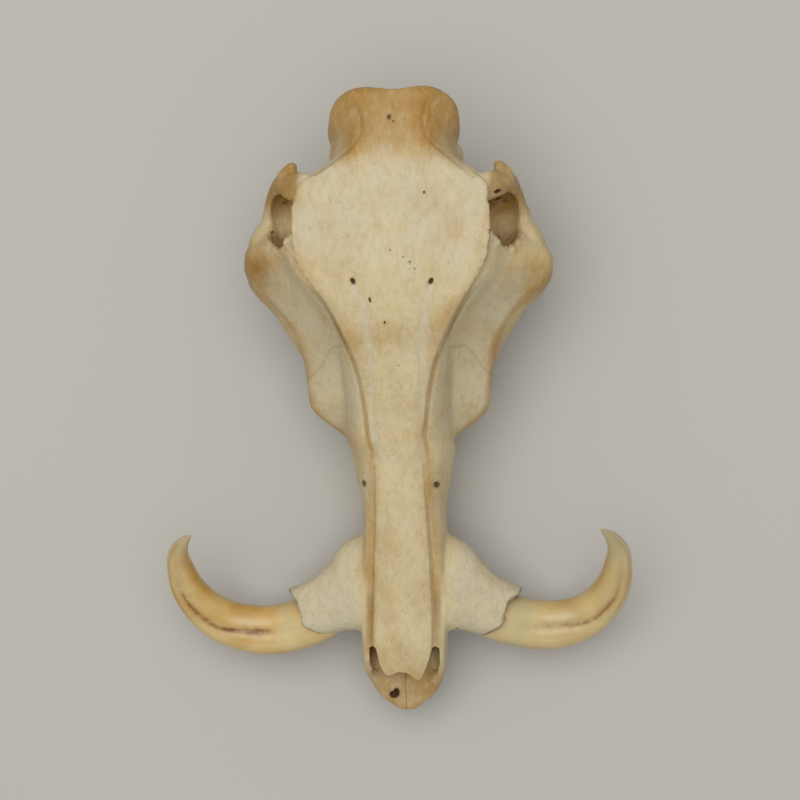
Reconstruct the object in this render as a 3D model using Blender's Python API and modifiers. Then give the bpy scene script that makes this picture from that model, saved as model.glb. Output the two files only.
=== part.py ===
"""Warthog cranium with both upper tusks, at life size, lying the right way up on its cheek teeth.

+X is the animal's left, +Y runs from the snout to the back of the head, +Z is up, and the floor is at z = 0.
The bone is modelled whole from lofts, sweeps and ellipsoids, fused, carved, and then parted along its main
sutures. Sizes are in millimetres on the skull's own axes; MM turns them into metres.
"""

import math

import bmesh
import bpy
import numpy as np
from mathutils import Matrix, Vector

MM = 0.001

# Driving dimensions, in millimetres
FRONT_Y = -193.5
REAR_Y = 193.5
CORNER_HALF_WIDTH = 96.5
FOREHEAD_HALF_WIDTH = 60.0
SNOUT_HALF_WIDTH = 27.0
ROOF_HEIGHT = 154.0
SUTURE_GAP = 0.3
MIDLINE_SLIT = 0.8
# The tusks differ in reach, so the midline stands beside the middle of the box
MIDLINE_PLACE = (3.5, -1.0, 0.0)

# Mesh fineness
FUSE_VOXEL = 2.2
SMOOTH_STEPS = 4
BONE_TRIANGLES = 7600

WELD = 0.00001

# Looks
BONE_COLOUR = (0.624, 0.527, 0.361)
BONE_ROUGHNESS = 0.55
TUSK_COLOUR = (0.584, 0.402, 0.173)
TUSK_ROUGHNESS = 0.3

# The skull's profiles along Y: pairs of station and size.
ROOF_Z = (
    (-193.5, 38), (-184, 41), (-176, 47), (-166, 58), (-158, 68), (-150, 71.5), (-112, 81), (-60, 92.5),
    (-12, 106), (28, 123), (60, 138), (90, 146), (115, 149), (140, 153), (168, ROOF_HEIGHT), (193.5, 153),
)
DORSUM_HALF = (
    (-193.5, 4), (-190, 9), (-186, 14), (-180, 18.5), (-172, 21), (-160, 23), (-152, 19.5), (-131, 18.8),
    (-93, 18), (-55, 15.2), (-30, 15.5), (-10, 16.6), (10.5, 19), (28, 22.5), (46, 29.5), (65, 38.8),
    (78, 49.6), (96, 58.4), (117, FOREHEAD_HALF_WIDTH), (132, 58), (139, 53), (142, 46), (148, 35),
    (157, 24.3), (168, 19.2), (180, 18), (186, 21), (193.5, 26),
)
DORSUM_DROP = (
    (-193.5, 2), (-170, 2), (-150, 4), (-112, 5), (-55, 4.5), (0, 3.5), (46, 1.5), (78, -1), (117, -2),
    (139, 0), (157, 1), (180, 1.5), (193.5, 3),
)
SHOULDER_X = (
    (-193.5, 5), (-190, 10), (-186, 15), (-180, 19.6), (-160, 26), (-112, 24.5), (-58, 22.5), (-20, 24.5),
    (0, 27), (40, 33), (64, 41), (84, 51), (100, 53), (117, 53), (135, 51), (144, 50), (150, 42.5),
    (157, 35.5), (168, 33), (180, 35.5), (188, 34), (193.5, 30),
)
SHOULDER_Z = (
    (-193.5, 36), (-180, 40), (-160, 60), (-112, 72), (-58, 80), (-20, 92), (0, 97), (40, 112), (64, 124),
    (84, 134), (100, 138), (117, 139), (135, 141), (150, 138), (168, 134), (193.5, 134),
)
SIDE_X = (
    (-193.5, 5), (-190, 10), (-186, 15.8), (-182, 19.2), (-170, 24.3), (-160, SNOUT_HALF_WIDTH), (-145, 28),
    (-112, 27), (-58, 27), (-45, 29.6), (-33, 31.4), (-20, 34), (0, 36), (40, 37), (64, 38), (84, 40),
    (100, 38), (117, 35), (135, 35), (150, 38), (168, 39.5), (184, 39), (193.5, 36),
)
SIDE_Z = (
    (-193.5, 34), (-160, 46), (-112, 56), (-58, 58), (0, 66), (40, 82), (84, 104), (117, 108), (150, 102),
    (193.5, 100),
)
JAW_X = (
    (-193.5, 4.5), (-180, 17), (-160, 24), (-112, 25), (-58, 24), (-20, 27), (0, 31), (30, 34), (45, 28),
    (64, 26), (117, 28), (135, 32), (150, 36), (168, 34), (193.5, 28),
)
JAW_Z = (
    (-193.5, 31), (-160, 34), (-112, 38), (-58, 36), (30, 38), (45, 60), (64, 76), (117, 78), (150, 76),
    (193.5, 82),
)
BASE_X = (
    (-193.5, 3.5), (-180, 13), (-160, 19), (-112, 20), (-80, 21), (-58, 24), (-20, 28), (0, 31), (30, 34),
    (40, 24), (48, 15), (64, 13), (117, 13), (135, 16), (150, 20), (168, 22), (193.5, 18),
)
BASE_Z = (
    (-193.5, 29), (-160, 26), (-112, 22), (-80, 19), (-58, 15), (30, 15), (40, 34), (48, 50), (64, 57),
    (150, 57), (168, 60), (193.5, 70),
)
PALATE_Z = (
    (-193.5, 30), (-160, 30), (-112, 28), (-58, 25), (30, 27), (40, 38), (48, 52), (64, 58), (150, 58),
    (168, 60), (193.5, 70),
)
# How far the back of the skull leans: metres forward for each metre down from the roof.
OCCIPUT_RAKE = ((130, 0.0), (150, 0.06), (170, 0.17), (193.5, 0.22))

# The flared cheek, from the ridge beside the forehead out to the zygomatic corner
CHEEK_OUT_X = (
    (-26, 28), (-18, 33.5), (-12, 40.5), (-6.4, 48.5), (-1, 54), (5, 57.3), (13, 58.3), (28.6, 60), (40, 62),
    (51.7, 67), (63.4, 75), (74.6, 85.5), (82.3, 93.5), (90, CORNER_HALF_WIDTH), (101, 95.5),
)
CHEEK_OUT_Z = ((-26, 58), (-8, 60), (8, 66), (40, 78), (64, 88), (84, 96), (101, 101))
CHEEK_UNDER_Z = ((-26, 44), (-8, 40), (8, 38), (30, 44), (48, 62), (64, 70), (84, 76), (101, 80))
CHEEK_UNDER_X = ((-26, 22), (-8, 32), (30, 40), (64, 52), (84, 62), (101, 66))

# The zygomatic arch: its centre line, half height and half thickness from front root to rear root
ARCH_PATH = (
    (44, 14, 56), (56, 42, 60), (71, 68, 66), (84.5, 90, 73), (82.5, 107, 80), (73, 121, 85), (59, 134, 88),
    (38, 143, 90),
)
ARCH_HALF_HEIGHT = (14, 18, 24, 31, 29, 19, 14, 14)
ARCH_HALF_THICKNESS = (9, 9, 10, 11.7, 9.5, 7.5, 7, 8)

# The bar behind the eye socket, rising from the arch to a spike
POSTORBITAL_PATH = ((46, 131, 144), (58, 136, 141), (66, 138.5, 130), (72, 133, 113), (76, 119, 97))
POSTORBITAL_WIDTH = (10, 9, 8, 7, 7.5)
POSTORBITAL_THICKNESS = (5, 4.6, 4.2, 4.5, 5.5)
SPIKE_PATH = ((67, 131, 120), (66.5, 141, 128), (61.5, 150.5, 136))
SPIKE_HALF_WIDTH = (7.5, 6.6, 2.8)
SPIKE_HALF_THICKNESS = (5, 3.6, 1.8)

# The flared bone round the tusk's root: its centre line from inside the snout out to the broken edge
SOCKET_PATH = ((6, -107, 52), (24, -112, 51), (38, -118, 48), (52, -124.5, 44.5), (74, -132.5, 40.5))
SOCKET_HALF_WIDTH = (34.5, 32.5, 24.5, 19.5, 17)
SOCKET_HALF_THICKNESS = (20, 21, 19, 17, 15.4)
SOCKET_EDGE = {
    "left": ((76, -106), (71.8, -117.6), (65.6, -121), (62.6, -137), (49, -144.6), (44, -156)),
    "right": ((78, -106), (74.6, -117.6), (69.5, -123.1), (66.1, -137.7), (48.6, -146.3), (44, -158)),
}

# The crest across the back of the head, from the middle out and down to the ear
NAPE_CREST_PATH = (
    (-3, 184, 148.5), (9, 187, 149.5), (20, 187.5, 147), (29.5, 184.5, 140), (35, 178.5, 129), (36, 171, 114),
    (35, 164, 100),
)
NAPE_CREST_THICKNESS = (4, 4.5, 5, 5, 4.5, 4.5, 4)
NAPE_CREST_DEPTH = (6, 7, 7.5, 7.5, 7, 6, 5)

# The tusk's centre line from inside its socket to the tip, for a reach of 140 mm
TUSK_PATH = (
    (30, -118, 50), (48, -127, 46), (66, -134, 41), (89, -139, 36.5), (112, -135.5, 38), (130, -122.5, 48),
    (139, -104, 64), (140, -89, 81), (136.5, -78.5, 96), (131, -72.5, 108),
)
TUSK_HALF_WIDTH = (14, 15.5, 16, 15.6, 14.5, 12.8, 10.2, 7.6, 4.4, 0.9)
TUSK_HALF_THICKNESS = (11, 12, 12.6, 12.2, 11.2, 9.6, 7.6, 5.6, 3.3, 0.8)
TUSK_REACH = {"right": 1.025, "left": 0.96}
TUSK_FORWARD = {"right": 3.5, "left": 0.0}

# How far the skull leans off its midline, in X at stations of Y: at the roof, and low down
SKEW_ROOF = ((-60, 0), (0, -0.7), (60, -0.9), (90, -1.9), (125, -1.5), (145, 0.8), (193.5, 0.6))
SKEW_LOW = (
    (-193.5, -0.6), (-155, -1.0), (-120, 0), (-60, 0), (-26, -0.5), (-15, -2.4), (0, -2.2), (30, -2.4),
    (66, -2.6), (90, -0.8), (108, -2.4), (125, -2.2), (155, -3.2), (193.5, -3),
)
SKEW_RISE = (100, 140)

# Where the bone parts: the sutures between snout, face and braincase, and round the cheekbones
PREMAXILLA_REAR_Y = -152.0
FACE_REAR_Y = 36.0
NASAL_HALF = (
    (-172, 13.5), (-166, 16), (-155, 18.4), (-131, 18.4), (-93, 17.6), (-55, 15), (-30, 14.5), (0, 14.5),
    (30, 15), (45, 12), (54, 5),
)
NASAL_DEPTH = 7.5
CHEEKBONE_EDGE = ((49, 16), (50, 38), (60, 66), (71, 92), (61.5, 103), (61.5, 156))

# Cheek teeth from front to back: centre along Y, length, width
CHEEK_TEETH = ((-64, 7.5, 8), (-55, 9.5, 10.5), (-43.5, 12, 13), (-27, 19, 15.5), (10.5, 53, 16.5))
TOOTH_ROW_X = ((-70, 18.5), (-20, 21.5), (40, 25))


def cubic(knots, values, at):
    """Monotone cubic through values (last axis) at the knots, read at the points of at."""
    knots = np.asarray(knots, float)
    values = np.asarray(values, float)
    at = np.asarray(at, float)
    step = np.diff(knots)
    slope = np.diff(values, axis=-1) / step
    before, after = slope[..., :-1], slope[..., 1:]
    w1 = 2 * step[1:] + step[:-1]
    w2 = step[1:] + 2 * step[:-1]
    same = before * after > 0
    safe = np.where(same, before * after, 1.0)
    inner = np.where(same, (w1 + w2) * safe / np.where(same, w1 * after + w2 * before, 1.0), 0.0)
    tangent = np.concatenate([slope[..., :1], inner, slope[..., -1:]], axis=-1)
    index = np.clip(np.searchsorted(knots, at, side="right") - 1, 0, len(knots) - 2)
    h = step[index]
    t = np.clip((at - knots[index]) / h, 0, 1)
    a, b = values[..., index], values[..., index + 1]
    ta, tb = tangent[..., index] * h, tangent[..., index + 1] * h
    return (
        a * (1 + 2 * t) * (1 - t) ** 2 + ta * t * (1 - t) ** 2 + b * t**2 * (3 - 2 * t) + tb * t**2 * (t - 1)
    )


def along(profile, y):
    """The size that a profile of (station, size) pairs has at y."""
    stations, sizes = zip(*profile)
    return cubic(stations, sizes, y)


def mesh_object(name, verts, faces):
    """A mesh object from points in millimetres."""
    mesh = bpy.data.meshes.new(name)
    mesh.from_pydata([tuple(v) for v in np.asarray(verts, float) * MM], [], faces)
    work = bmesh.new()
    work.from_mesh(mesh)
    bmesh.ops.recalc_face_normals(work, faces=work.faces)
    work.to_mesh(mesh)
    work.free()
    made = bpy.data.objects.new(name, mesh)
    bpy.context.scene.collection.objects.link(made)
    return made


def loft(name, rings):
    """A closed solid through rings of points: quads between neighbouring rings, one cap at each end."""
    rings = np.asarray(rings, float)
    count, around = rings.shape[:2]
    faces = []
    for i in range(count - 1):
        for j in range(around):
            k = (j + 1) % around
            faces.append((i * around + j, i * around + k, (i + 1) * around + k, (i + 1) * around + j))
    faces.append(tuple(range(around)))
    faces.append(tuple(range((count - 1) * around, count * around)))
    return mesh_object(name, rings.reshape(-1, 3), faces)


def sweep(name, path, half_width, half_height, up=(0, 0, 1), around=20, steps=28, power=2.0, grow=0.0):
    """A rounded section carried along a smooth path. half_width lies across, half_height along up."""
    path = np.asarray(path, float)
    knots = np.concatenate([[0], np.cumsum(np.linalg.norm(np.diff(path, axis=0), axis=1))])
    at = np.linspace(0, knots[-1], steps)
    centre = cubic(knots, path.T, at).T
    wide = cubic(knots, np.broadcast_to(half_width, len(path)), at) + grow
    high = cubic(knots, np.broadcast_to(half_height, len(path)), at) + grow
    tangent = np.gradient(centre, axis=0)
    tangent /= np.linalg.norm(tangent, axis=1)[:, None]
    across = np.cross(tangent, np.broadcast_to(up, tangent.shape))
    across /= np.linalg.norm(across, axis=1)[:, None]
    upward = np.cross(across, tangent)
    angle = np.linspace(0, 2 * math.pi, around, endpoint=False)
    c, s = np.cos(angle), np.sin(angle)
    u = np.sign(c) * np.abs(c) ** (2 / power)
    v = np.sign(s) * np.abs(s) ** (2 / power)
    rings = (
        centre[:, None]
        + (wide[:, None] * u)[..., None] * across[:, None]
        + (high[:, None] * v)[..., None] * upward[:, None]
    )
    return loft(name, rings)


def ellipsoid(name, centre, radii, turn=(0, 0, 0)):
    """A sphere primitive scaled to radii and turned by Euler degrees."""
    mesh = bpy.data.meshes.new(name)
    work = bmesh.new()
    bmesh.ops.create_uvsphere(work, u_segments=32, v_segments=20, radius=1.0)
    turned = Matrix.LocRotScale(
        Vector(centre) * MM,
        Matrix.Rotation(math.radians(turn[2]), 3, "Z")
        @ Matrix.Rotation(math.radians(turn[1]), 3, "Y")
        @ Matrix.Rotation(math.radians(turn[0]), 3, "X"),
        Vector(radii) * MM,
    )
    bmesh.ops.transform(work, matrix=turned, verts=work.verts)
    work.to_mesh(mesh)
    work.free()
    made = bpy.data.objects.new(name, mesh)
    bpy.context.scene.collection.objects.link(made)
    return made


def block(name, low, high):
    """A box primitive between two corners."""
    mesh = bpy.data.meshes.new(name)
    work = bmesh.new()
    bmesh.ops.create_cube(work, size=1.0)
    low, high = Vector(low) * MM, Vector(high) * MM
    bmesh.ops.scale(work, vec=high - low, verts=work.verts)
    bmesh.ops.translate(work, vec=(low + high) / 2, verts=work.verts)
    work.to_mesh(mesh)
    work.free()
    made = bpy.data.objects.new(name, mesh)
    bpy.context.scene.collection.objects.link(made)
    return made


def mirrored(form):
    """The same form on the animal's other side."""
    twin = form.copy()
    twin.data = form.data.copy()
    bpy.context.scene.collection.objects.link(twin)
    twin.data.transform(Matrix.Scale(-1, 4, (1, 0, 0)))
    twin.data.flip_normals()
    return twin


def remove(objects):
    for obj in list(objects):
        bpy.data.objects.remove(obj)


def applied(obj):
    """The object with its modifiers made part of its mesh."""
    bpy.context.view_layer.update()
    graph = bpy.context.evaluated_depsgraph_get()
    mesh = bpy.data.meshes.new_from_object(obj.evaluated_get(graph))
    obj.modifiers.clear()
    obj.data = mesh
    return obj


def joined(name, forms):
    """One object that holds all the forms' faces."""
    work = bmesh.new()
    for form in forms:
        work.from_mesh(form.data)
    mesh = bpy.data.meshes.new(name)
    work.to_mesh(mesh)
    work.free()
    made = bpy.data.objects.new(name, mesh)
    bpy.context.scene.collection.objects.link(made)
    remove(forms)
    return made


def fused(name, forms, voxel):
    """The forms grown together as one skin."""
    made = joined(name, forms)
    remesh = made.modifiers.new("fuse", "REMESH")
    remesh.mode = "VOXEL"
    remesh.voxel_size = voxel * MM
    return applied(made)


def boolean(obj, forms, operation, solver="MANIFOLD"):
    """obj with the forms taken away, added or kept in common, one after the other. The forms are removed."""
    for form in forms:
        change = obj.modifiers.new("boolean", "BOOLEAN")
        change.operation = operation
        change.solver = solver
        change.object = form
        applied(obj)
    remove(forms)
    return obj


def core():
    """The braincase, face and snout: one loft along Y whose half outline has eight corners."""
    y = np.linspace(FRONT_Y, REAR_Y, 150)
    roof = along(ROOF_Z, y)
    edge = along(DORSUM_HALF, y)
    x = np.stack(
        [
            0 * y, 0.55 * edge, edge, along(SHOULDER_X, y), along(SIDE_X, y), along(JAW_X, y),
            along(BASE_X, y), 0 * y,
        ],
        axis=1,
    )
    drop = along(DORSUM_DROP, y)
    z = np.stack(
        [
            roof, roof - 0.35 * drop, roof - drop, along(SHOULDER_Z, y), along(SIDE_Z, y), along(JAW_Z, y),
            along(BASE_Z, y), along(PALATE_Z, y),
        ],
        axis=1,
    )
    corners = np.arange(8)
    t = np.linspace(0, 7, 43)
    half_x = cubic(corners, x, t)
    half_z = cubic(corners, z, t)
    ring_x = np.concatenate([half_x, -half_x[:, -2:0:-1]], axis=1)
    ring_z = np.concatenate([half_z, half_z[:, -2:0:-1]], axis=1)
    lean = along(OCCIPUT_RAKE, np.maximum(y, OCCIPUT_RAKE[0][0]))[:, None] * (ring_z - ROOF_HEIGHT)
    ring_y = y[:, None] + lean
    return loft("core", np.stack([ring_x, ring_y, ring_z], axis=-1))


def cheek():
    """The sloping cheek on one side: lofted sections from the forehead's ridge out to the corner."""
    y = np.linspace(CHEEK_OUT_X[0][0], CHEEK_OUT_X[-1][0], 40)
    ridge = along(DORSUM_HALF, y)
    roof = along(ROOF_Z, y) - along(DORSUM_DROP, y)
    out_x, out_z = along(CHEEK_OUT_X, y), along(CHEEK_OUT_Z, y)
    under_x, under_z = along(CHEEK_UNDER_X, y), along(CHEEK_UNDER_Z, y)
    inner = np.minimum(ridge - 6, 30)
    x = [
        inner, ridge + 1, ridge + 0.3 * (out_x - ridge), ridge + 0.68 * (out_x - ridge), out_x - 2, out_x,
        out_x - 4, under_x, inner,
    ]
    slope = roof - 13 - out_z - 6
    z = [
        roof - 14, roof - 11, out_z + 6 + 0.55 * slope, out_z + 6 + 0.2 * slope, out_z + 5, out_z - 2,
        out_z - 12, under_z, under_z + 2,
    ]
    rings = np.stack([np.stack(x, 1), np.repeat(y[:, None], len(x), 1), np.stack(z, 1)], axis=-1)
    return loft("cheek", rings)


def arch():
    """The zygomatic arch on one side, a tall bar carried round the eye socket."""
    return sweep("arch", ARCH_PATH, ARCH_HALF_THICKNESS, ARCH_HALF_HEIGHT, steps=40, around=24, power=2.6)


def postorbital():
    """The bar behind the eye socket, from the forehead's corner down to the arch, and its rear spike."""
    return [
        sweep("bar", POSTORBITAL_PATH, POSTORBITAL_WIDTH, POSTORBITAL_THICKNESS),
        sweep("spike", SPIKE_PATH, SPIKE_HALF_THICKNESS, SPIKE_HALF_WIDTH, up=(1, 0, 0)),
    ]


def socket():
    """The flared tube of bone that holds a tusk."""
    return sweep(
        "socket", SOCKET_PATH, SOCKET_HALF_WIDTH, SOCKET_HALF_THICKNESS, steps=30, around=28, power=2.7
    )


def socket_end(side):
    """What is broken away past the rough edge of a tusk's socket: an upright form outside that edge."""
    low, high, far = -20.0, 120.0, 160.0
    edge = SOCKET_EDGE["left" if side > 0 else "right"]
    outline = [*edge, (far, edge[-1][1]), (far, edge[0][1])]
    return loft("socket_end", [[(side * x, y, z) for x, y in outline] for z in (low, high)])


def back_of_skull():
    """Condyles, ear bones, the processes beside them and the squamosal root on one side."""
    return [
        ellipsoid("condyle", (15.5, 169, 68), (10.5, 12, 14), turn=(25, 0, -12)),
        ellipsoid("bulla", (21, 136, 50), (8.5, 15, 14)),
        sweep(
            "paroccipital",
            ((33, 160, 92), (35, 162, 70), (34.5, 163, 45), (33, 163, 22), (31.5, 161, -3)),
            (8, 7.5, 6.2, 5, 4),
            (11, 9, 7.5, 6, 5),
            up=(0, 1, 0),
        ),
        ellipsoid("squamosal", (32.5, 151, 92), (8, 17, 15)),
        ellipsoid("joint_bar", (50, 134, 78), (17, 7, 7), turn=(0, 0, -20)),
        ellipsoid("orbit_floor", (62, 113.5, 90), (24, 26, 14)),
        sweep("nape_crest", NAPE_CREST_PATH, NAPE_CREST_THICKNESS, NAPE_CREST_DEPTH, up=(0, 1, 0)),
        sweep(
            "pterygoid",
            ((15, 42, 58), (15.5, 48, 44), (16, 54, 30), (17, 60, 19)),
            (3, 2.6, 2.4, 2),
            (12, 11, 8, 3),
            up=(0, 1, 0),
        ),
    ]


def nasal_slab():
    """The nasal bones where they reach out over the nose opening."""
    y = np.linspace(-168, -118, 16)
    half = along(((-168, 11.5), (-163, 14.5), (-150, 18.6), (-118, 18.6)), y)
    top = along(((-168, 64.5), (-160, 67.5), (-150, 71), (-118, 79.5)), y)
    thick = along(((-168, 4), (-150, 7), (-118, 9)), y)
    x = np.stack([0 * y, 0.6 * half, half, 0.96 * half, 0.5 * half, 0 * y], 1)
    z = np.stack([top, top - 1, top - 4, top - 4 - 0.6 * thick, top - thick, top - thick + 1], 1)
    x = np.concatenate([x, -x[:, -2:0:-1]], 1)
    z = np.concatenate([z, z[:, -2:0:-1]], 1)
    return loft("nasal_slab", np.stack([x, np.repeat(y[:, None], x.shape[1], 1), z], -1))


def carvings():
    """What is hollow: nose, eye sockets, throat, braincase opening and ear openings."""
    nose = sweep(
        "nose",
        ((0, -212, 66), (0, -192, 55), (0, -176, 50.5), (0, -160, 50), (0, -130, 53), (0, -100, 56)),
        (9, 14, 19.5, 21.5, 18, 9),
        (13, 12.5, 12.5, 12.5, 12, 8),
        power=2.6,
    )
    throat = sweep(
        "throat",
        ((0, 72, 47), (0, 52, 45), (0, 30, 42), (0, 8, 42)),
        (10.5, 10.5, 9, 5),
        (8.5, 9, 8.5, 6),
        power=2.6,
    )
    brain = sweep(
        "brain", ((0, 188, 76), (0, 165, 78), (0, 140, 90)), (9.5, 10, 14), (8.5, 9.5, 14)
    )
    found = [nose, throat, brain]
    for form in (
        ellipsoid("orbit", (66, 117.5, 119), (13, 17.5, 26), turn=(0, -8, 0)),
        ellipsoid("nuchal_hollow", (17, 192, 118), (12, 10, 22), turn=(-12, 0, 0)),
        ellipsoid("ear", (44, 166, 108), (9, 4, 4)),
    ):
        found += [mirrored(form), form]
    return found


def skewed(obj):
    """Moves the object's points in X by the skull's own lean off its midline. Returns the object."""
    points = np.empty(len(obj.data.vertices) * 3)
    obj.data.vertices.foreach_get("co", points)
    points = points.reshape(-1, 3)
    y, z = points[:, 1] / MM, points[:, 2] / MM
    rise = np.clip((z - SKEW_RISE[0]) / (SKEW_RISE[1] - SKEW_RISE[0]), 0, 1)
    points[:, 0] += MM * (rise * along(SKEW_ROOF, y) + (1 - rise) * along(SKEW_LOW, y))
    obj.data.vertices.foreach_set("co", points.ravel())
    return obj


def tusk_form(name, side, grow=0.0):
    """A tusk: an oval section carried round its curve. side is +1 for the animal's left."""
    hand = "left" if side > 0 else "right"
    path = np.array(TUSK_PATH, float)
    path[:, 0] = side * (path[0, 0] + (path[:, 0] - path[0, 0]) * TUSK_REACH[hand])
    path[2:, 1] -= TUSK_FORWARD[hand]
    return sweep(
        name, path, TUSK_HALF_WIDTH, TUSK_HALF_THICKNESS, steps=26, around=14, power=2.2, grow=grow
    )


def teeth():
    """The cheek teeth on both sides: worn flat crowns, rooted in the jaw."""
    made = []
    for middle, length, width in CHEEK_TEETH:
        x = float(along(TOOTH_ROW_X, middle))
        crown = sweep(
            "tooth",
            ((x - 1.5, middle, 24), (x - 0.5, middle, 10), (x, middle, -3)),
            (width / 2 - 1, width / 2, width / 2 - 0.5),
            (length / 2 - 0.8, length / 2, length / 2 - 0.4),
            up=(0, 1, 0),
            steps=4,
            around=16,
            power=3.2,
        )
        made += [mirrored(crown), crown]
    return [skewed(crown) for crown in made]


def nasal_region(grow=0.0):
    """The space of the nasal bones: the roof of the snout, NASAL_DEPTH thick."""
    y = np.linspace(NASAL_HALF[0][0], NASAL_HALF[-1][0] + grow, 40)
    half = along(NASAL_HALF, y) + grow
    floor = np.where(y < PREMAXILLA_REAR_Y, 48.0, along(ROOF_Z, y) - NASAL_DEPTH) - grow
    roof = floor + 60
    x = np.stack([-half, half, half, -half], 1)
    z = np.stack([floor, floor, roof, roof], 1)
    return loft("nasal_region", np.stack([x, np.repeat(y[:, None], 4, 1), z], -1))


def cheekbone_region(side, grow=0.0):
    """The space of one cheekbone, outside a line over the cheek and through the eye socket."""
    low, high, far = -10.0, 200.0, 150.0
    edge = [(x - grow, y) for x, y in CHEEKBONE_EDGE]
    outline = [*edge, (far, CHEEKBONE_EDGE[-1][1]), (far, CHEEKBONE_EDGE[0][1])]
    return loft("cheekbone_region", [[(side * x, y, z) for x, y in outline] for z in (low, high)])


def largest_shell(obj):
    """Only the largest closed surface of the object stays."""
    work = bmesh.new()
    work.from_mesh(obj.data)
    work.verts.ensure_lookup_table()
    seen = set()
    shells = []
    for start in work.verts:
        if start.index in seen:
            continue
        seen.add(start.index)
        shell = [start]
        for vert in shell:
            for edge in vert.link_edges:
                other = edge.other_vert(vert)
                if other.index not in seen:
                    seen.add(other.index)
                    shell.append(other)
        shells.append(shell)
    shells.sort(key=len)
    bmesh.ops.delete(work, geom=[v for shell in shells[:-1] for v in shell], context="VERTS")
    work.to_mesh(obj.data)
    work.free()
    return obj


def piece(whole, name, keep, away=()):
    """A copy of the whole bone inside the keep form and outside the away forms, as one closed surface."""
    part = whole.copy()
    part.data = whole.data.copy()
    part.name = name
    bpy.context.scene.collection.objects.link(part)
    boolean(part, [keep], "INTERSECT")
    boolean(part, away, "DIFFERENCE")
    return largest_shell(part)


def parted(whole):
    """The bone's nodes, cut out of the whole one SUTURE_GAP apart."""
    gap = SUTURE_GAP
    half_gap, half_slit = gap / 2, MIDLINE_SLIT / 2
    far = 300
    nodes = []
    for side, hand in ((1, "left"), (-1, "right")):
        inner, outer = sorted((side * half_slit, side * far))
        snout = block("snout", (inner, -far, -far), (outer, PREMAXILLA_REAR_Y - half_gap, far))
        nodes.append(piece(whole, "premaxilla_" + hand, snout, [nasal_region(gap)]))
        ahead = block("ahead", (-far, -far, -far), (far, FACE_REAR_Y + half_gap, far))
        nodes.append(piece(whole, "cheekbone_" + hand, cheekbone_region(side), [ahead]))
    nodes.append(piece(whole, "nasal_bones", nasal_region()))
    face = block("face", (-far, PREMAXILLA_REAR_Y + half_gap, -far), (far, FACE_REAR_Y - half_gap, far))
    back = block("back", (-far, FACE_REAR_Y + half_gap, -far), (far, far, far))
    upper_jaw = piece(whole, "upper_jaw", face, [nasal_region(gap)])
    cheekbones = [cheekbone_region(1, gap), cheekbone_region(-1, gap)]
    nodes.append(piece(whole, "braincase", back, [nasal_region(gap), *cheekbones]))
    boolean(upper_jaw, teeth(), "UNION")
    nodes.append(upper_jaw)
    return nodes


def bone():
    """The whole cranium as one skin, carved and thinned to a few thousand triangles."""
    forms = [core(), nasal_slab()]
    for form in [cheek(), arch(), socket(), *postorbital(), *back_of_skull()]:
        forms += [mirrored(form), form]
    whole = fused("bone", forms, FUSE_VOXEL)
    boolean(whole, carvings(), "DIFFERENCE")
    again = whole.modifiers.new("even", "REMESH")
    again.mode = "VOXEL"
    again.voxel_size = FUSE_VOXEL * MM
    smooth = whole.modifiers.new("smooth", "SMOOTH")
    smooth.factor = 0.5
    smooth.iterations = SMOOTH_STEPS
    applied(whole)
    thin = whole.modifiers.new("thin", "DECIMATE")
    thin.ratio = BONE_TRIANGLES / sum(len(p.vertices) - 2 for p in whole.data.polygons)
    return skewed(applied(whole))


def rested(obj):
    """The object with all that would reach below the floor cut away flat at z = 0."""
    return boolean(obj, [block("below", (-300, -300, -60), (300, 300, 0))], "DIFFERENCE")


def finish(obj, material, collection):
    """Smooth shading, welded corners, the node's own material, and the object's collection."""
    work = bmesh.new()
    work.from_mesh(obj.data)
    bmesh.ops.remove_doubles(work, verts=work.verts, dist=WELD)
    bmesh.ops.triangulate(work, faces=work.faces)
    bmesh.ops.translate(work, vec=Vector(MIDLINE_PLACE) * MM, verts=work.verts)
    for face in work.faces:
        face.smooth = True
    work.to_mesh(obj.data)
    work.free()
    obj.data.materials.clear()
    obj.data.materials.append(material)
    obj.data.name = obj.name
    for other in obj.users_collection:
        other.objects.unlink(obj)
    collection.objects.link(obj)


def material(name, colour, roughness):
    """A plain material of one colour."""
    made = bpy.data.materials.new(name)
    made.use_nodes = True
    shader = made.node_tree.nodes["Principled BSDF"]
    shader.inputs["Base Color"].default_value = (*colour, 1)
    shader.inputs["Roughness"].default_value = roughness
    shader.inputs["Metallic"].default_value = 0.0
    return made


def main():
    remove(bpy.data.objects)
    skull = bpy.data.collections.new("warthog_skull")
    bpy.context.scene.collection.children.link(skull)
    whole = bone()
    for side in (1, -1):
        boolean(whole, [socket_end(side), tusk_form("bore", side, grow=SUTURE_GAP)], "DIFFERENCE")
    nodes = parted(whole)
    remove([whole])
    for side, hand in ((1, "left"), (-1, "right")):
        nodes.append(tusk_form("tusk_" + hand, side))
    for node in nodes:
        is_tusk = node.name.startswith("tusk")
        look = (TUSK_COLOUR, TUSK_ROUGHNESS) if is_tusk else (BONE_COLOUR, BONE_ROUGHNESS)
        finish(rested(node), material(node.name, *look), skull)


if __name__ == "__main__":
    main()
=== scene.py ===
"""Looks of the warthog cranium: its bones, tusks and teeth, and the floor, light and camera round it.

Lengths are in millimetres on the skull's own axes, which are the frame's: +X the animal's left, +Y the back
of the head, +Z up. MM turns them into metres where a mesh is made.
"""

import math

import bmesh
import bpy
import numpy as np
from mathutils import Matrix, Vector


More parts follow.
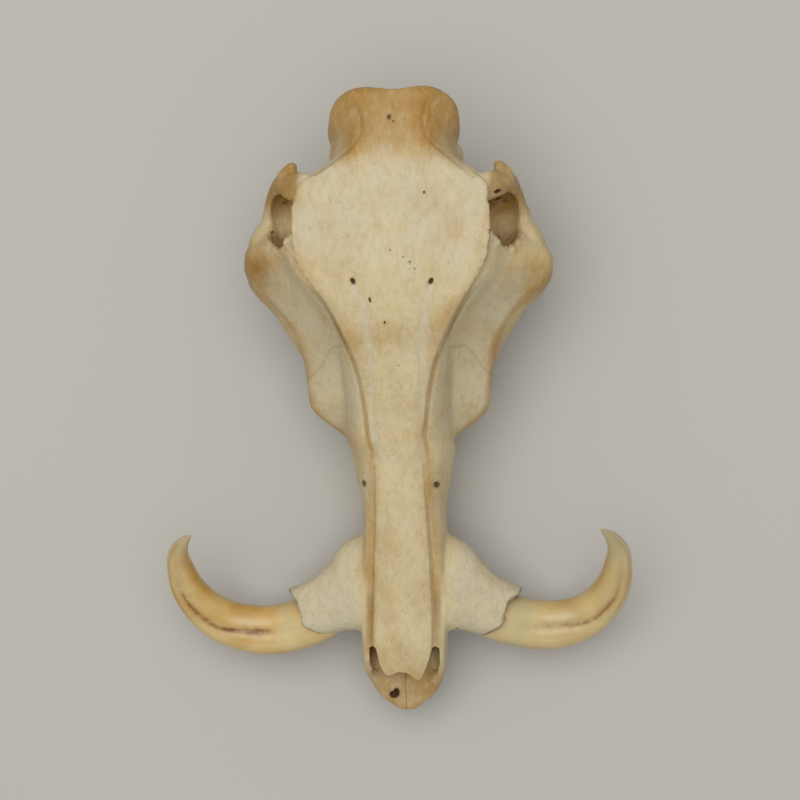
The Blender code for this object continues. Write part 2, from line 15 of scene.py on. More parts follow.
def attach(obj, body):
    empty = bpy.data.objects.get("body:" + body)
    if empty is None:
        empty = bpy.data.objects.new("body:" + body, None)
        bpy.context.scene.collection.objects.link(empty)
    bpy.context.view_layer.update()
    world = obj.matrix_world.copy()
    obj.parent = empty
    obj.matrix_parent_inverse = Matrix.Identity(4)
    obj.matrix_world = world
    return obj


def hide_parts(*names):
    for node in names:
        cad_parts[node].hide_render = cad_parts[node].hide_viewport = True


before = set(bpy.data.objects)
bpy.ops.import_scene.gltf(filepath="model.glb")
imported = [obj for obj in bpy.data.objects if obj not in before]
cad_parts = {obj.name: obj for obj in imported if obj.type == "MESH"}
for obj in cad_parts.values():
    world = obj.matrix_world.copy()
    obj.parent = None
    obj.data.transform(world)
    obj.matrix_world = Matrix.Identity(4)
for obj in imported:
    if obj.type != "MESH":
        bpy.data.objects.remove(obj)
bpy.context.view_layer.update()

MM = 0.001

SIDES = {"left": 1, "right": -1}

# Sizes of the cranium
FRONT_Y = -193.5
REAR_Y = 193.5
FOREHEAD_HALF_WIDTH = 60.0
SNOUT_HALF_WIDTH = 27.0
ROOF_HEIGHT = 154.0
# Hairline gaps between the bones: at most sutures, beside the nasal bones, and along the snout's midline
SUTURE_WIDTH = 0.03
NASAL_SUTURE_WIDTH = 0.06
MIDLINE_SLIT = 0.14
SLIT_X = -1.0
# The tusks differ in reach, so the midline stands beside the middle of the box
MIDLINE_PLACE = (3.5, -1.0, 0.0)

# Fineness of the fused bone
FUSE_VOXEL = 1.2
SMOOTH_STEPS = 12
# How low, high and far out the forms reach that cut the bone apart
CUT_LOW = -20
CUT_HIGH = 220
FAR = 300

# Profiles along Y: pairs of station and size
ROOF_Z = (
    (-193.5, 38), (-184, 41), (-176, 47), (-166, 58), (-158, 68), (-150, 71.5), (-112, 81), (-60, 92.5),
    (-12, 106), (28, 123), (60, 138), (90, 146), (115, 149), (140, 153), (168, ROOF_HEIGHT), (193.5, 153),
)
DORSUM_HALF = (
    (-193.5, 4), (-190, 9), (-186, 14), (-180, 18.5), (-172, 21), (-160, 23), (-152, 19.5), (-131, 18.8),
    (-93, 18), (-55, 15.2), (-30, 15.5), (-10, 16.6), (10.5, 19), (28, 22.5), (46, 29.5), (65, 38.8),
    (78, 49.6), (96, 58.4), (117, FOREHEAD_HALF_WIDTH), (132, 58), (139, 53), (142, 46), (148, 35),
    (157, 24.3), (168, 19.2), (180, 18), (186, 21), (193.5, 26),
)
DORSUM_DROP = (
    (-193.5, 2), (-170, 2), (-150, 4), (-112, 5), (-55, 4.5), (0, 3.5), (46, 1.5), (78, -1), (117, -2),
    (139, 0), (157, 1), (180, 1.5), (193.5, 3),
)
SHOULDER_X = (
    (-193.5, 5), (-190, 10), (-186, 15), (-180, 19.6), (-160, 26), (-112, 24.5), (-58, 22.5), (-20, 24.5),
    (0, 27), (40, 33), (64, 41), (84, 51), (100, 53), (117, 53), (135, 51), (144, 50), (150, 42.5),
    (157, 35.5), (168, 33), (180, 35.5), (188, 34), (193.5, 30),
)
SHOULDER_Z = (
    (-193.5, 36), (-180, 40), (-160, 60), (-112, 72), (-58, 80), (-20, 92), (0, 97), (40, 112), (64, 124),
    (84, 134), (100, 138), (117, 139), (135, 141), (150, 138), (168, 134), (193.5, 134),
)
SIDE_X = (
    (-193.5, 5), (-190, 10), (-186, 15.8), (-182, 19.2), (-170, 24.3), (-160, SNOUT_HALF_WIDTH),
    (-145, 28), (-112, 27), (-58, 27), (-45, 29.6), (-33, 31.4), (-20, 34), (0, 36), (40, 37), (64, 38),
    (84, 40), (100, 38), (117, 35), (135, 35), (150, 38), (168, 39.5), (184, 39), (193.5, 36),
)
SIDE_Z = (
    (-193.5, 34), (-160, 46), (-112, 56), (-58, 58), (0, 66), (40, 82), (84, 104), (117, 108), (150, 102),
    (193.5, 100),
)
JAW_X = (
    (-193.5, 4.5), (-180, 17), (-160, 24), (-112, 25), (-58, 24), (-20, 27), (0, 31), (30, 34), (45, 28),
    (64, 26), (117, 28), (135, 32), (150, 36), (168, 34), (193.5, 28),
)
JAW_Z = (
    (-193.5, 31), (-160, 34), (-112, 38), (-58, 36), (30, 38), (45, 60), (64, 76), (117, 78), (150, 76),
    (193.5, 82),
)
BASE_X = (
    (-193.5, 3.5), (-180, 13), (-160, 19), (-112, 20), (-80, 21), (-58, 24), (-20, 28), (0, 31), (30, 34),
    (40, 24), (48, 15), (64, 13), (117, 13), (135, 16), (150, 20), (168, 22), (193.5, 18),
)
BASE_Z = (
    (-193.5, 29), (-160, 26), (-112, 22), (-80, 19), (-58, 15), (30, 15), (40, 34), (48, 50), (64, 57),
    (150, 57), (168, 60), (193.5, 70),
)
PALATE_Z = (
    (-193.5, 30), (-160, 30), (-112, 28), (-58, 25), (30, 27), (40, 38), (48, 52), (64, 58), (150, 58),
    (168, 60), (193.5, 70),
)
OCCIPUT_RAKE = ((130, 0.0), (150, 0.06), (170, 0.17), (193.5, 0.22))

# The nasal bones' free end over the nose opening: half width, height and thickness
NASAL_TIP_HALF = ((-173, 17.4), (-160, 18.6), (-150, 19), (-136, 18.4), (-118, 16))
NASAL_TIP_Z = ((-173, 63), (-160, 68.2), (-150, 71.7), (-136, 74.6), (-118, 77.5))
NASAL_TIP_THICKNESS = ((-173, 3.6), (-150, 6), (-118, 9))

# The flared cheek
CHEEK_OUT_X = (
    (-26, 28), (-18, 33.5), (-12, 40.5), (-6.4, 48.5), (-1, 54), (5, 57.3), (13, 58.3), (28.6, 60),
    (40, 62), (51.7, 67), (63.4, 75), (74.6, 85.5), (82.3, 93.5), (90, 96.3), (97, 95.6), (103, 92.5),
    (108, 88), (112, 83),
)
CHEEK_OUT_Z = ((-26, 58), (-8, 60), (8, 66), (40, 78), (64, 88), (84, 96), (98, 100), (105, 98), (112, 92))
CHEEK_UNDER_Z = ((-26, 44), (-8, 40), (8, 38), (30, 44), (48, 62), (64, 70), (84, 76), (101, 80))
CHEEK_UNDER_X = ((-26, 22), (-8, 32), (30, 40), (64, 52), (84, 62), (101, 66))

# The zygomatic arch from its front root to its rear root
ARCH_PATH = (
    (44, 14, 56), (56, 42, 60), (71, 68, 66), (84.5, 90, 73), (82.5, 107, 80), (73, 121, 85),
    (59, 134, 88), (38, 143, 90),
)
ARCH_HALF_HEIGHT = (14, 18, 24, 31, 29, 19, 14, 14)
ARCH_HALF_THICKNESS = (9, 9, 10, 11.7, 9.5, 7.5, 7, 8)

# The bar behind the eye socket and its spike
POSTORBITAL_PATH = ((46, 131, 144), (58, 136, 141), (66, 138.5, 130), (72, 133, 113), (76, 119, 97))
POSTORBITAL_WIDTH = (10, 9, 8, 7, 7.5)
POSTORBITAL_THICKNESS = (5, 4.6, 4.2, 4.5, 5.5)
SPIKE_PATH = ((67, 131, 120), (66.5, 141, 128), (61.5, 150.5, 136))
SPIKE_HALF_WIDTH = (7.5, 6.6, 2.8)
SPIKE_HALF_THICKNESS = (5, 3.6, 1.8)

# The process under the ear on which the skull rests, the wing beside the throat, and the three hollows
EAR_PROCESS_PATH = ((33, 160, 92), (35, 162, 70), (34.5, 163, 45), (33, 163, 22), (31.5, 161, -3))
PTERYGOID_PATH = ((15, 42, 58), (15.5, 48, 44), (16, 54, 30), (17, 60, 19))
NOSE_PATH = ((0, -212, 66), (0, -192, 56), (0, -176, 53), (0, -160, 53), (0, -130, 54.5), (0, -100, 56))
THROAT_PATH = ((0, 72, 47), (0, 52, 45), (0, 30, 42), (0, 8, 42))
BRAIN_PATH = ((0, 188, 76), (0, 165, 78), (0, 140, 90))

# The flared bone round the tusk's root, and the cracked edge where it ends, seen from above
SOCKET_PATH = ((6, -107, 52), (24, -112, 51), (38, -118, 48), (52, -124.5, 44.5), (74, -132.5, 40.5))
SOCKET_HALF_WIDTH = (34.5, 32.5, 24.5, 19.5, 17)
SOCKET_HALF_THICKNESS = (20, 21, 19, 17, 15.4)
SOCKET_EDGE = {
    "left": (
        (78, -104), (74.6, -114), (72.5, -117.4), (68.5, -119.2), (65.9, -121.6), (64.9, -126),
        (63.5, -130.5), (63.6, -134), (61.4, -137.6), (56.5, -140.2), (52.5, -142.9), (48.6, -144.8),
        (44, -156),
    ),
    "right": (
        (80, -104), (76.4, -114), (73.8, -118.6), (70.4, -121.6), (69.4, -125.8), (67.2, -130.6),
        (67.6, -134), (65.6, -138.2), (60, -140.6), (55.5, -143), (51.8, -145.6), (47.6, -146.6),
        (44, -158),
    ),
}

# How far the skull leans off its midline, in X at stations of Y: at the roof, and low down
SKEW_ROOF = ((-60, 0), (0, -0.7), (60, -0.9), (90, -1.9), (125, -1.5), (145, 0.8), (193.5, 0.6))
SKEW_LOW = (
    (-193.5, -0.6), (-155, -1.0), (-120, 0), (-60, 0), (-26, -0.5), (-15, -2.4), (0, -2.2), (30, -2.4),
    (66, -2.6), (90, -0.8), (108, -2.4), (125, -2.2), (155, -3.2), (193.5, -3),
)
SKEW_RISE = (100, 140)

# The crest across the back of the head, from the middle out and down to the ear
NAPE_CREST_PATH = (
    (-3, 184, 148.5), (9, 187, 149.5), (20, 187.5, 147), (29.5, 184.5, 140), (35, 178.5, 129),
    (36, 171, 114), (35, 164, 100),
)
NAPE_CREST_THICKNESS = (4, 4.5, 5, 5, 4.5, 4.5, 4)
NAPE_CREST_DEPTH = (6, 7, 7.5, 7.5, 7, 6, 5)

# The tusk's centre line from inside its socket to the tip
TUSK_PATH = (
    (30, -118, 50), (48, -127, 46), (66, -134, 41), (89, -139, 36.5), (112, -135.5, 38),
    (130, -122.5, 48), (139, -104, 64), (140, -89, 81), (135, -78, 96), (127.5, -72.5, 108),
)
TUSK_HALF_WIDTH = (14, 15.5, 16, 15.6, 14.5, 12.6, 10, 7.4, 4.1, 0.6)
TUSK_HALF_THICKNESS = (11, 12, 12.6, 12.2, 11.2, 9.6, 7.6, 5.6, 3.3, 0.8)
# How far the tusks reach sideways, as a share of the path, and forward
TUSK_REACH = {"right": 1.025, "left": 0.96}
TUSK_FORWARD = {"right": 3.5, "left": 0.0}
# The section is a superellipse of this power; the socket's bore is wider than it by the play
TUSK_POWER = 2.2
TUSK_PLAY = 0.4
TUSK_AROUND = 120
TUSK_STEPS = 260
TUSK_SOFTEN = 140
# Tints of the two tusks
FURROW_BROWN = {"right": 1.0, "left": 0.4}
TUSK_AMBER = {"right": 0.57, "left": 0.42}
TUSK_CHALK = {"right": 0.05, "left": 0.38}

# Sutures
PREMAXILLA_REAR_Y = -152.0
NASAL_MIDDLE_X = -0.9
NASAL_HALF = (
    (-174, 19), (-148, 19), (-97, 18), (-60, 16), (-26, 14.8), (-8, 14.6), (30, 14.5), (40, 12.8),
    (48, 9.2), (52, 5.5), (54, 2.5), (54.6, 0.4),
)
NASAL_DEPTH = 7.5
NASAL_FLOOR = 58.0
FACE_REAR_Y = (
    (0, 46), (13, 46), (18, 40), (25, 37), (32, 40), (40, 41), (45, 37), (50, 29), (57, 23), (70, 16),
)
CHEEKBONE_EDGE = ((49, 10), (49, 30), (51, 42), (60, 66), (71, 92), (62, 102), (61.5, 152))

# Cheek teeth: centre along Y, length, width; and how far apart the columns of their outline are
CHEEK_TEETH = ((-64, 7.5, 8), (-55, 9.5, 10.5), (-43.5, 12, 13), (-27, 19, 15.5), (10.5, 53, 16.5))
TOOTH_ROW_X = ((-70, 18.5), (-20, 21.5), (40, 25))
TOOTH_COLUMN = 5.5

# Small holes of the bone: place seen from above, radii, turn about Z in degrees
FORAMINA = (
    ((-24.7, 79.1), (1.3, 1.9, 5), 30),
    ((22.2, 78.7), (1.3, 1.9, 5), -30),
    ((-14.8, 67.7), (0.6, 1.6, 2.5), 15),
    ((-6.3, 54.3), (0.6, 0.9, 2.5), 0),
    ((-1.7, 175.8), (1.0, 1.4, 2), 0),
    ((0.8, 173.2), (0.5, 0.6, 1), 0),
    ((18.8, 131.1), (0.8, 0.8, 2), 0),
    ((-2, 97.2), (0.5, 0.6, 1), 0),
    ((9.8, 90), (0.5, 0.7, 1), 0),
    ((5.6, 93), (0.4, 0.4, 1), 0),
    ((12.6, 86), (0.4, 0.6, 1), 0),
    ((-24, -44.9), (1.5, 1.9, 5), 12),
    ((21.9, -45.6), (1.7, 1.8, 5), -12),
    ((-9.4, -183.4), (2.3, 2.3, 5.5), 25),
    ((61, 107.5), (1.2, 1.2, 4), 0),
    ((-7.2, -182), (2.0, 3.2, 5.5), -8),
    ((62.3, 132.1), (2.3, 0.8, 3), 28),
    ((-78.5, 112), (1.0, 0.8, 3), 0),
    ((-66.5, 112), (0.9, 0.8, 3), 0),
    ((33, -138.5), (0.8, 0.8, 2), 0),
)
# How far round a small hole's middle the skin is looked for
SKIN_SEARCH = 1.1
# Seen from above: the free end of the nasal bones, from one nostril's rear corner round to the other's
NASAL_END = (
    (-22.6, -150.2), (-20.4, -148.6), (-18.6, -150), (-17.2, -158), (-14.2, -164.4), (-12.6, -167.4),
    (-10.4, -168.2), (-8.2, -167.6), (-5.6, -166.1), (-3.6, -165.6), (-1.7, -165.9), (1, -166.2),
    (3.4, -167.8), (6.2, -170.2), (8.8, -171.1), (10.6, -169.4), (12.7, -164.5), (15.2, -157.9),
    (17.4, -150), (19.4, -148.8), (22.0, -150.4),
)
NOSTRILS = (
    (
        (-22.6, -151), (-21.4, -149.4), (-18.9, -149.4), (-17.9, -151), (-16.6, -158), (-15.4, -163),
        (-18.6, -168), (-21.4, -166), (-22.7, -160),
    ),
    (
        (22.2, -151.6), (21, -149.8), (18.6, -149.8), (17.4, -151.4), (15.6, -158), (13.8, -163),
        (17.6, -168), (20.8, -166), (22.2, -160),
    ),
)
# What is cut away: outwards and upwards of the sockets' ends, above the nose and in the slit
SOCKET_CUT_X = 160.0
SOCKET_CUT_Z = 120
NOSE_CUT_Z = 90
NOSTRIL_FLOOR = 45.5
SLIT_WIDTH = (-1.12, -0.9)
SLIT_HEIGHT = (33, 60)
# Hollow of the eye socket: centre, radii, turn about Y in degrees
ORBIT = ((66, 117.5, 120), (13, 17.5, 22.5), -8)
# How far outside the forehead's ridge its groove runs, along Y
GROOVE_FOOT = ((-30, 1.6), (0, 2), (30, 2.2), (70, 3.4))
# Paths seen from above: the temporal lines that bound the crest, and the pale bands ahead of the brow holes
TEMPORAL_LINES = (
    ((-46, 142.5), (-34, 151), (-23.9, 158.2), (-19.6, 164), (-18.2, 170), (-18.8, 177), (-22, 184)),
    ((48, 139.5), (35.5, 150), (25.6, 158.1), (20.4, 164), (18.2, 170), (17.6, 176), (20, 184)),
)
BROW_BANDS = (
    ((-24, 76), (-19, 66), (-17.2, 52), (-16.4, 30), (-15.6, 0), (-15.4, -30)),
    ((22, 76), (18.6, 66), (16.4, 50), (14.6, 20), (13.6, 0), (13.6, -30)),
)

# The least value of a tint, where it isn't 0
TINT_FLOOR = {"grey": -0.5}
# Pores are about 1.1 mm apart
PORE_SPACING = 1.1111
RANGE_ENDS = ("From Min", "From Max", "To Min", "To Max")

# The photograph's view, and the light: lengths in metres, turns in degrees
CAMERA_TARGET = Vector((0.003, 0.0065, 0.09))
CAMERA_DISTANCE = 1.31
CAMERA_ANGLE = 21.6
CAMERA_TURN = (4.0, -0.3)
LAMP_PLACE = Vector((-0.1, 0.2, 1.66))
FLOOR_HALF_WIDTH = 4


def cubic(knots, values, at):
    """Monotone cubic through values (last axis) at the knots, read at the points of at."""
    knots = np.asarray(knots, float)
    values = np.asarray(values, float)
    at = np.asarray(at, float)
    step = np.diff(knots)
    slope = np.diff(values, axis=-1) / step
    before, after = slope[..., :-1], slope[..., 1:]
    w1 = 2 * step[1:] + step[:-1]
    w2 = step[1:] + 2 * step[:-1]
    same = before * after > 0
    safe = np.where(same, before * after, 1.0)
    inner = np.where(same, (w1 + w2) * safe / np.where(same, w1 * after + w2 * before, 1.0), 0.0)
    tangent = np.concatenate([slope[..., :1], inner, slope[..., -1:]], axis=-1)
    index = np.clip(np.searchsorted(knots, at, side="right") - 1, 0, len(knots) - 2)
    h = step[index]
    t = np.clip((at - knots[index]) / h, 0, 1)
    a, b = values[..., index], values[..., index + 1]
    ta, tb = tangent[..., index] * h, tangent[..., index + 1] * h
    rise = a * (1 + 2 * t) * (1 - t) ** 2 + ta * t * (1 - t) ** 2
    return rise + b * t**2 * (3 - 2 * t) + tb * t**2 * (t - 1)


def along(profile, y):
    """The size that a profile of (station, size) pairs has at y, held level past its ends."""
    stations, sizes = zip(*profile)
    return cubic(stations, sizes, np.clip(y, stations[0], stations[-1]))


def ripple(points, size, seed, waves=14):
    """Soft noise between about -1 and 1: a sum of sine waves in seeded directions, about size mm long."""
    rng = np.random.default_rng(seed)
    ways = rng.normal(size=(waves, 3))
    ways *= (2 * math.pi / (size * rng.uniform(0.7, 1.5, waves)) / np.linalg.norm(ways, axis=1))[:, None]
    return np.sin(points @ ways.T + rng.uniform(0, 2 * math.pi, waves)).sum(1) / math.sqrt(waves)


def bump_at(distance, width):
    """A smooth hill: 1 at distance 0, falling to about a third at width."""
    return np.exp(-((distance / width) ** 2))


def ramp(value, low, high):
    """0 below low, 1 above high, with a smooth rise between."""
    t = np.clip((value - low) / (high - low), 0, 1)
    return t * t * (3 - 2 * t)


def within(value, low, full_low, full_high, high):
    """1 between the two middle values, with a smooth fall to 0 at the outer ones."""
    return ramp(value, low, full_low) * (1 - ramp(value, full_high, high))


def linked(name, data):
    """A new object of the scene that holds data."""
    made = bpy.data.objects.new(name, data)
    bpy.context.scene.collection.objects.link(made)
    return made


def solid(name, verts, faces):
    """A closed mesh of points in millimetres and faces, turned to face outwards."""
    mesh = bpy.data.meshes.new(name)
    mesh.from_pydata((verts * MM).tolist(), [], faces)
    work = bmesh.new()
    work.from_mesh(mesh)
    bmesh.ops.recalc_face_normals(work, faces=work.faces)
    work.to_mesh(mesh)
    work.free()
    return linked(name, mesh)


def closed_tube(name, rings):
    """A closed solid through rings (stations, around, xyz): quads between them, a fan at each end."""
    count, around = rings.shape[:2]
    i = np.arange(count - 1)[:, None] * around
    j = np.arange(around)[None]
    k = (j + 1) % around
    quads = np.stack([i + j, i + k, i + around + k, i + around + j], -1).reshape(-1, 4)
    first, last = count * around, count * around + 1
    ring = np.arange(around)
    after = (ring + 1) % around
    base = (count - 1) * around
    fans = [
        np.stack([after, ring, np.full(around, first)], 1),
        np.stack([base + ring, base + after, np.full(around, last)], 1),
    ]
    verts = np.concatenate([rings.reshape(-1, 3), [rings[0].mean(0)], [rings[-1].mean(0)]])
    return solid(name, verts, quads.tolist() + np.concatenate(fans).tolist())


def swept_rings(path, half_width, half_height, up, around, steps, power, grow=0.0, shape=None, soften=0):
    """Rings of a rounded section carried along a smooth path.

    Each ring is centre + across * w * C(a) + upward * h * S(a), with C and S the superellipse's cosine and
    sine; shape(a, t) scales the section at angle a and share t of the path. The path is averaged with its
    neighbours soften times, which evens out its bends.
    """
    path = np.asarray(path, float)
    knots = np.concatenate([[0], np.cumsum(np.linalg.norm(np.diff(path, axis=0), axis=1))])
    at = np.linspace(0, knots[-1], steps)
    centre = cubic(knots, path.T, at).T
    for _ in range(soften):
        centre[1:-1] = (centre[:-2] + 2 * centre[1:-1] + centre[2:]) / 4
    wide, high = cubic(knots, half_width, at) + grow, cubic(knots, half_height, at) + grow
    tangent = np.gradient(centre, axis=0)
    tangent /= np.linalg.norm(tangent, axis=1)[:, None]
    across = np.cross(tangent, np.broadcast_to(up, tangent.shape))
    across /= np.linalg.norm(across, axis=1)[:, None]
    upward = np.cross(across, tangent)
    angle = np.linspace(0, 2 * math.pi, around, endpoint=False)
    u, v = (np.sign(c) * np.abs(c) ** (2 / power) for c in (np.cos(angle), np.sin(angle)))
    scale = 1.0 if shape is None else shape(angle[None], np.linspace(0, 1, steps)[:, None])
    return (
        centre[:, None]
        + (scale * wide[:, None] * u)[..., None] * across[:, None]
        + (scale * high[:, None] * v)[..., None] * upward[:, None]
    )


def sweep(name, path, half_width, half_height, up=(0, 0, 1), around=28, steps=48, power=2.0):
    """A closed swept form, as swept_rings describes it."""
    return closed_tube(name, swept_rings(path, half_width, half_height, up, around, steps, power))


def ellipsoid(name, centre, radii, turn=(0, 0, 0), fine=24):
    """A closed egg: centre + turn * (radii * the unit sphere's latitude and longitude grid)."""
    latitude = np.linspace(0.02, math.pi - 0.02, fine)[:, None]
    longitude = np.linspace(0, 2 * math.pi, 2 * fine, endpoint=False)[None]
    ball = np.stack(
        [
            np.sin(latitude) * np.cos(longitude),
            np.sin(latitude) * np.sin(longitude),
            np.cos(latitude) + 0 * longitude,
        ],
        -1,
    )
    x, y, z = (math.radians(a) for a in turn)
    turned = Matrix.Rotation(z, 3, "Z") @ Matrix.Rotation(y, 3, "Y") @ Matrix.Rotation(x, 3, "X")
    return closed_tube(name, (ball * radii) @ np.array(turned).T + centre)


def prism(name, outline, low=CUT_LOW, high=CUT_HIGH):
    """A closed upright form between two heights over an outline of (x, y) points."""
    outline = np.asarray(outline, float)
    count = len(outline)
    verts = np.concatenate([np.column_stack([outline, np.full(count, z)]) for z in (low, high)])
    sides = [(i, (i + 1) % count, count + (i + 1) % count, count + i) for i in range(count)]
    return solid(name, verts, [*sides, tuple(range(count)), tuple(range(count, 2 * count))])


def lofted(name, y, corner_x, corner_z, fineness, mirror=True):
    """A closed form with, at each station of y, a monotone cubic through the corners of its outline.

    There are fineness steps from corner to corner. With mirror, the outline is a half that is repeated on
    the other side. Points move along Y by OCCIPUT_RAKE times their height over the roof's highest point.
    """
    corners = np.arange(len(corner_x))
    t = np.linspace(0, corners[-1], fineness * corners[-1] + 1)
    x, z = (cubic(corners, np.stack(corner, 1), t) for corner in (corner_x, corner_z))
    if mirror:
        x = np.concatenate([x, -x[:, -2:0:-1]], 1)
        z = np.concatenate([z, z[:, -2:0:-1]], 1)
    raked = y[:, None] + along(OCCIPUT_RAKE, y)[:, None] * (z - ROOF_HEIGHT)
    return closed_tube(name, np.stack([x, raked, z], -1))


def mirrored(form):
    """The same form on the animal's other side, still facing outwards."""
    twin = linked(form.name, form.data.copy())
    twin.data.transform(Matrix.Scale(-1, 4, (1, 0, 0)))
    twin.data.flip_normals()
    return twin


def remove(objects):
    """Takes objects out of the scene."""
    for obj in list(objects):
        bpy.data.objects.remove(obj)


def applied(obj):
    """The object with its modifiers made part of its mesh."""
    bpy.context.view_layer.update()
    graph = bpy.context.evaluated_depsgraph_get()
    mesh = bpy.data.meshes.new_from_object(obj.evaluated_get(graph))
    obj.modifiers.clear()
    obj.data = mesh
    return obj


def joined(name, forms):
    """One object that holds all the forms' faces. The forms are removed."""
    work = bmesh.new()
    for form in forms:
        work.from_mesh(form.data)
    mesh = bpy.data.meshes.new(name)
    work.to_mesh(mesh)
    work.free()
    remove(forms)
    return linked(name, mesh)


def remeshed(obj, voxel, smooth=0):
    """The object's skin as even quads of voxel mm, softened smooth times and swollen back to its size."""
    even = obj.modifiers.new("even", "REMESH")
    even.mode = "VOXEL"
    even.voxel_size = voxel * MM
    for factor in (0.5, -0.515) if smooth else ():
        soft = obj.modifiers.new("soft", "SMOOTH")
        soft.factor = factor
        soft.iterations = smooth
    return applied(obj)


def boolean(obj, forms, operation):
    """obj with the forms taken away or kept in common, one after the other. The forms are removed."""
    for form in forms:
        change = obj.modifiers.new("boolean", "BOOLEAN")
        change.operation = operation
        change.solver = "MANIFOLD"
        change.object = form
        applied(obj)
    remove(forms)
    return obj


def points_of(mesh):
    """The mesh's points in millimetres and their normals, as arrays."""
    points = np.empty(len(mesh.vertices) * 3)
    mesh.vertices.foreach_get("co", points)
    normals = np.empty(len(mesh.vertices) * 3)
    mesh.vertex_normals.foreach_get("vector", normals)
    return points.reshape(-1, 3) / MM, normals.reshape(-1, 3)


def core():
    """Braincase, face and snout, from the roof's middle down over eight corners to the palate's middle."""
    y = np.linspace(FRONT_Y, REAR_Y, 320)
    roof, edge, drop = along(ROOF_Z, y), along(DORSUM_HALF, y), along(DORSUM_DROP, y)
    x = [0 * y, 0.55 * edge, edge]
    x += [along(profile, y) for profile in (SHOULDER_X, SIDE_X, JAW_X, BASE_X)] + [0 * y]
    z = [roof, roof - 0.35 * drop, roof - drop]
    z += [along(profile, y) for profile in (SHOULDER_Z, SIDE_Z, JAW_Z, BASE_Z, PALATE_Z)]
    return lofted("core", y, x, z, 12)


def cheek():
    """The sloping cheek on one side, from the forehead's ridge out to its edge and back in under it."""
    y = np.linspace(CHEEK_OUT_X[0][0], CHEEK_OUT_X[-1][0], 90)
    ridge = along(DORSUM_HALF, y)
    roof = along(ROOF_Z, y) - along(DORSUM_DROP, y)
    out_x, out_z = along(CHEEK_OUT_X, y), along(CHEEK_OUT_Z, y)
    under_x, under_z = along(CHEEK_UNDER_X, y), along(CHEEK_UNDER_Z, y)
    inner = np.minimum(ridge - 6, 30)
    width, slope = out_x - ridge, roof - 19 - out_z
    x = [inner, ridge + 1, ridge + 0.3 * width, ridge + 0.68 * width]
    x += [out_x - 2, out_x, out_x - 4, under_x, inner]
    z = [roof - 14, roof - 11, out_z + 6 + 0.55 * slope, out_z + 6 + 0.2 * slope]
    z += [out_z + 5, out_z - 2, out_z - 12, under_z, under_z + 2]
    return lofted("cheek", y, x, z, 8, mirror=False)


def nasal_roof():
    """The nasal bones' free end over the nose opening, from its middle over the side and back under it."""
    y = np.linspace(NASAL_TIP_HALF[0][0], NASAL_TIP_HALF[-1][0], 48)
    half, top, thick = along(NASAL_TIP_HALF, y), along(NASAL_TIP_Z, y), along(NASAL_TIP_THICKNESS, y)
    x = [0 * y, 0.6 * half, half, 0.97 * half, 0.5 * half, 0 * y]
    z = [top, top - 0.8, top - 3.4, top - 3.4 - 0.6 * thick, top - thick, top - thick + 0.5]
    return lofted("nasal_roof", y, x, z, 6)


def paired_forms():
    """Forms of one side: arch, tusk socket, eye socket's bar and walls, ear region, condyle, processes."""
    return [
        cheek(),
        sweep("arch", ARCH_PATH, ARCH_HALF_THICKNESS, ARCH_HALF_HEIGHT, steps=70, around=40, power=2.6),
        sweep("socket", SOCKET_PATH, SOCKET_HALF_WIDTH, SOCKET_HALF_THICKNESS, around=56, power=2.7),
        sweep("bar", POSTORBITAL_PATH, POSTORBITAL_WIDTH, POSTORBITAL_THICKNESS),
        sweep("spike", SPIKE_PATH, SPIKE_HALF_THICKNESS, SPIKE_HALF_WIDTH, up=(1, 0, 0)),
        ellipsoid("condyle", (15.5, 169, 68), (10.5, 12, 14), turn=(25, 0, -12)),
        ellipsoid("bulla", (21, 136, 50), (8.5, 15, 14)),
        sweep("paroccipital", EAR_PROCESS_PATH, (8, 7.5, 6.2, 5, 4), (11, 9, 7.5, 6, 5), up=(0, 1, 0)),
        ellipsoid("squamosal", (32.5, 151, 92), (8, 17, 15)),
        ellipsoid("joint_bar", (50, 134, 78), (17, 7, 7), turn=(0, 0, -20)),
        ellipsoid("orbit_floor", (62, 113.5, 90), (24, 26, 14)),
        ellipsoid("orbit_wall", (63, 138, 117), (12, 7, 23)),
        sweep("nape_crest", NAPE_CREST_PATH, NAPE_CREST_THICKNESS, NAPE_CREST_DEPTH, up=(0, 1, 0)),
        sweep("pterygoid", PTERYGOID_PATH, (3, 2.6, 2.4, 2), (12, 11, 8, 3), up=(0, 1, 0)),
    ]


def hollows():
    """What is open in the bone: nose, throat, braincase, eye sockets, nape hollows and ears."""
    found = [
        sweep("nose", NOSE_PATH, (9, 14, 19.5, 21.5, 18.5, 9), (13, 11.5, 9.8, 9.5, 10.5, 8), power=2.5),
        sweep("throat", THROAT_PATH, (10.5, 10.5, 9, 5), (8.5, 9, 8.5, 6), power=2.6),
        sweep("brain", BRAIN_PATH, (9.5, 10, 14), (8.5, 9.5, 14)),
    ]
    for form in (
        ellipsoid("orbit", ORBIT[0], ORBIT[1], turn=(0, ORBIT[2], 0), fine=40),
        ellipsoid("nape", (17, 192, 118), (12, 10, 22), turn=(-12, 0, 0)),
        ellipsoid("ear", (44, 166, 108), (9, 4, 4)),
    ):
        found += [mirrored(form), form]
    return found


def tusk_path(hand):
    """The tusk's centre line on one side, with that side's reach."""
    path = np.array(TUSK_PATH, float)
    path[:, 0] = SIDES[hand] * (path[0, 0] + (path[:, 0] - path[0, 0]) * TUSK_REACH[hand])
    path[2:, 1] -= TUSK_FORWARD[hand]
    return path


def tusk_rings(hand, around, **change):
    """The tusk's sections along its softened path; change is swept_rings' grow or shape."""
    return swept_rings(
        tusk_path(hand), TUSK_HALF_WIDTH, TUSK_HALF_THICKNESS, (0, 0, 1), around, TUSK_STEPS, TUSK_POWER,
        soften=TUSK_SOFTEN, **change,
    )


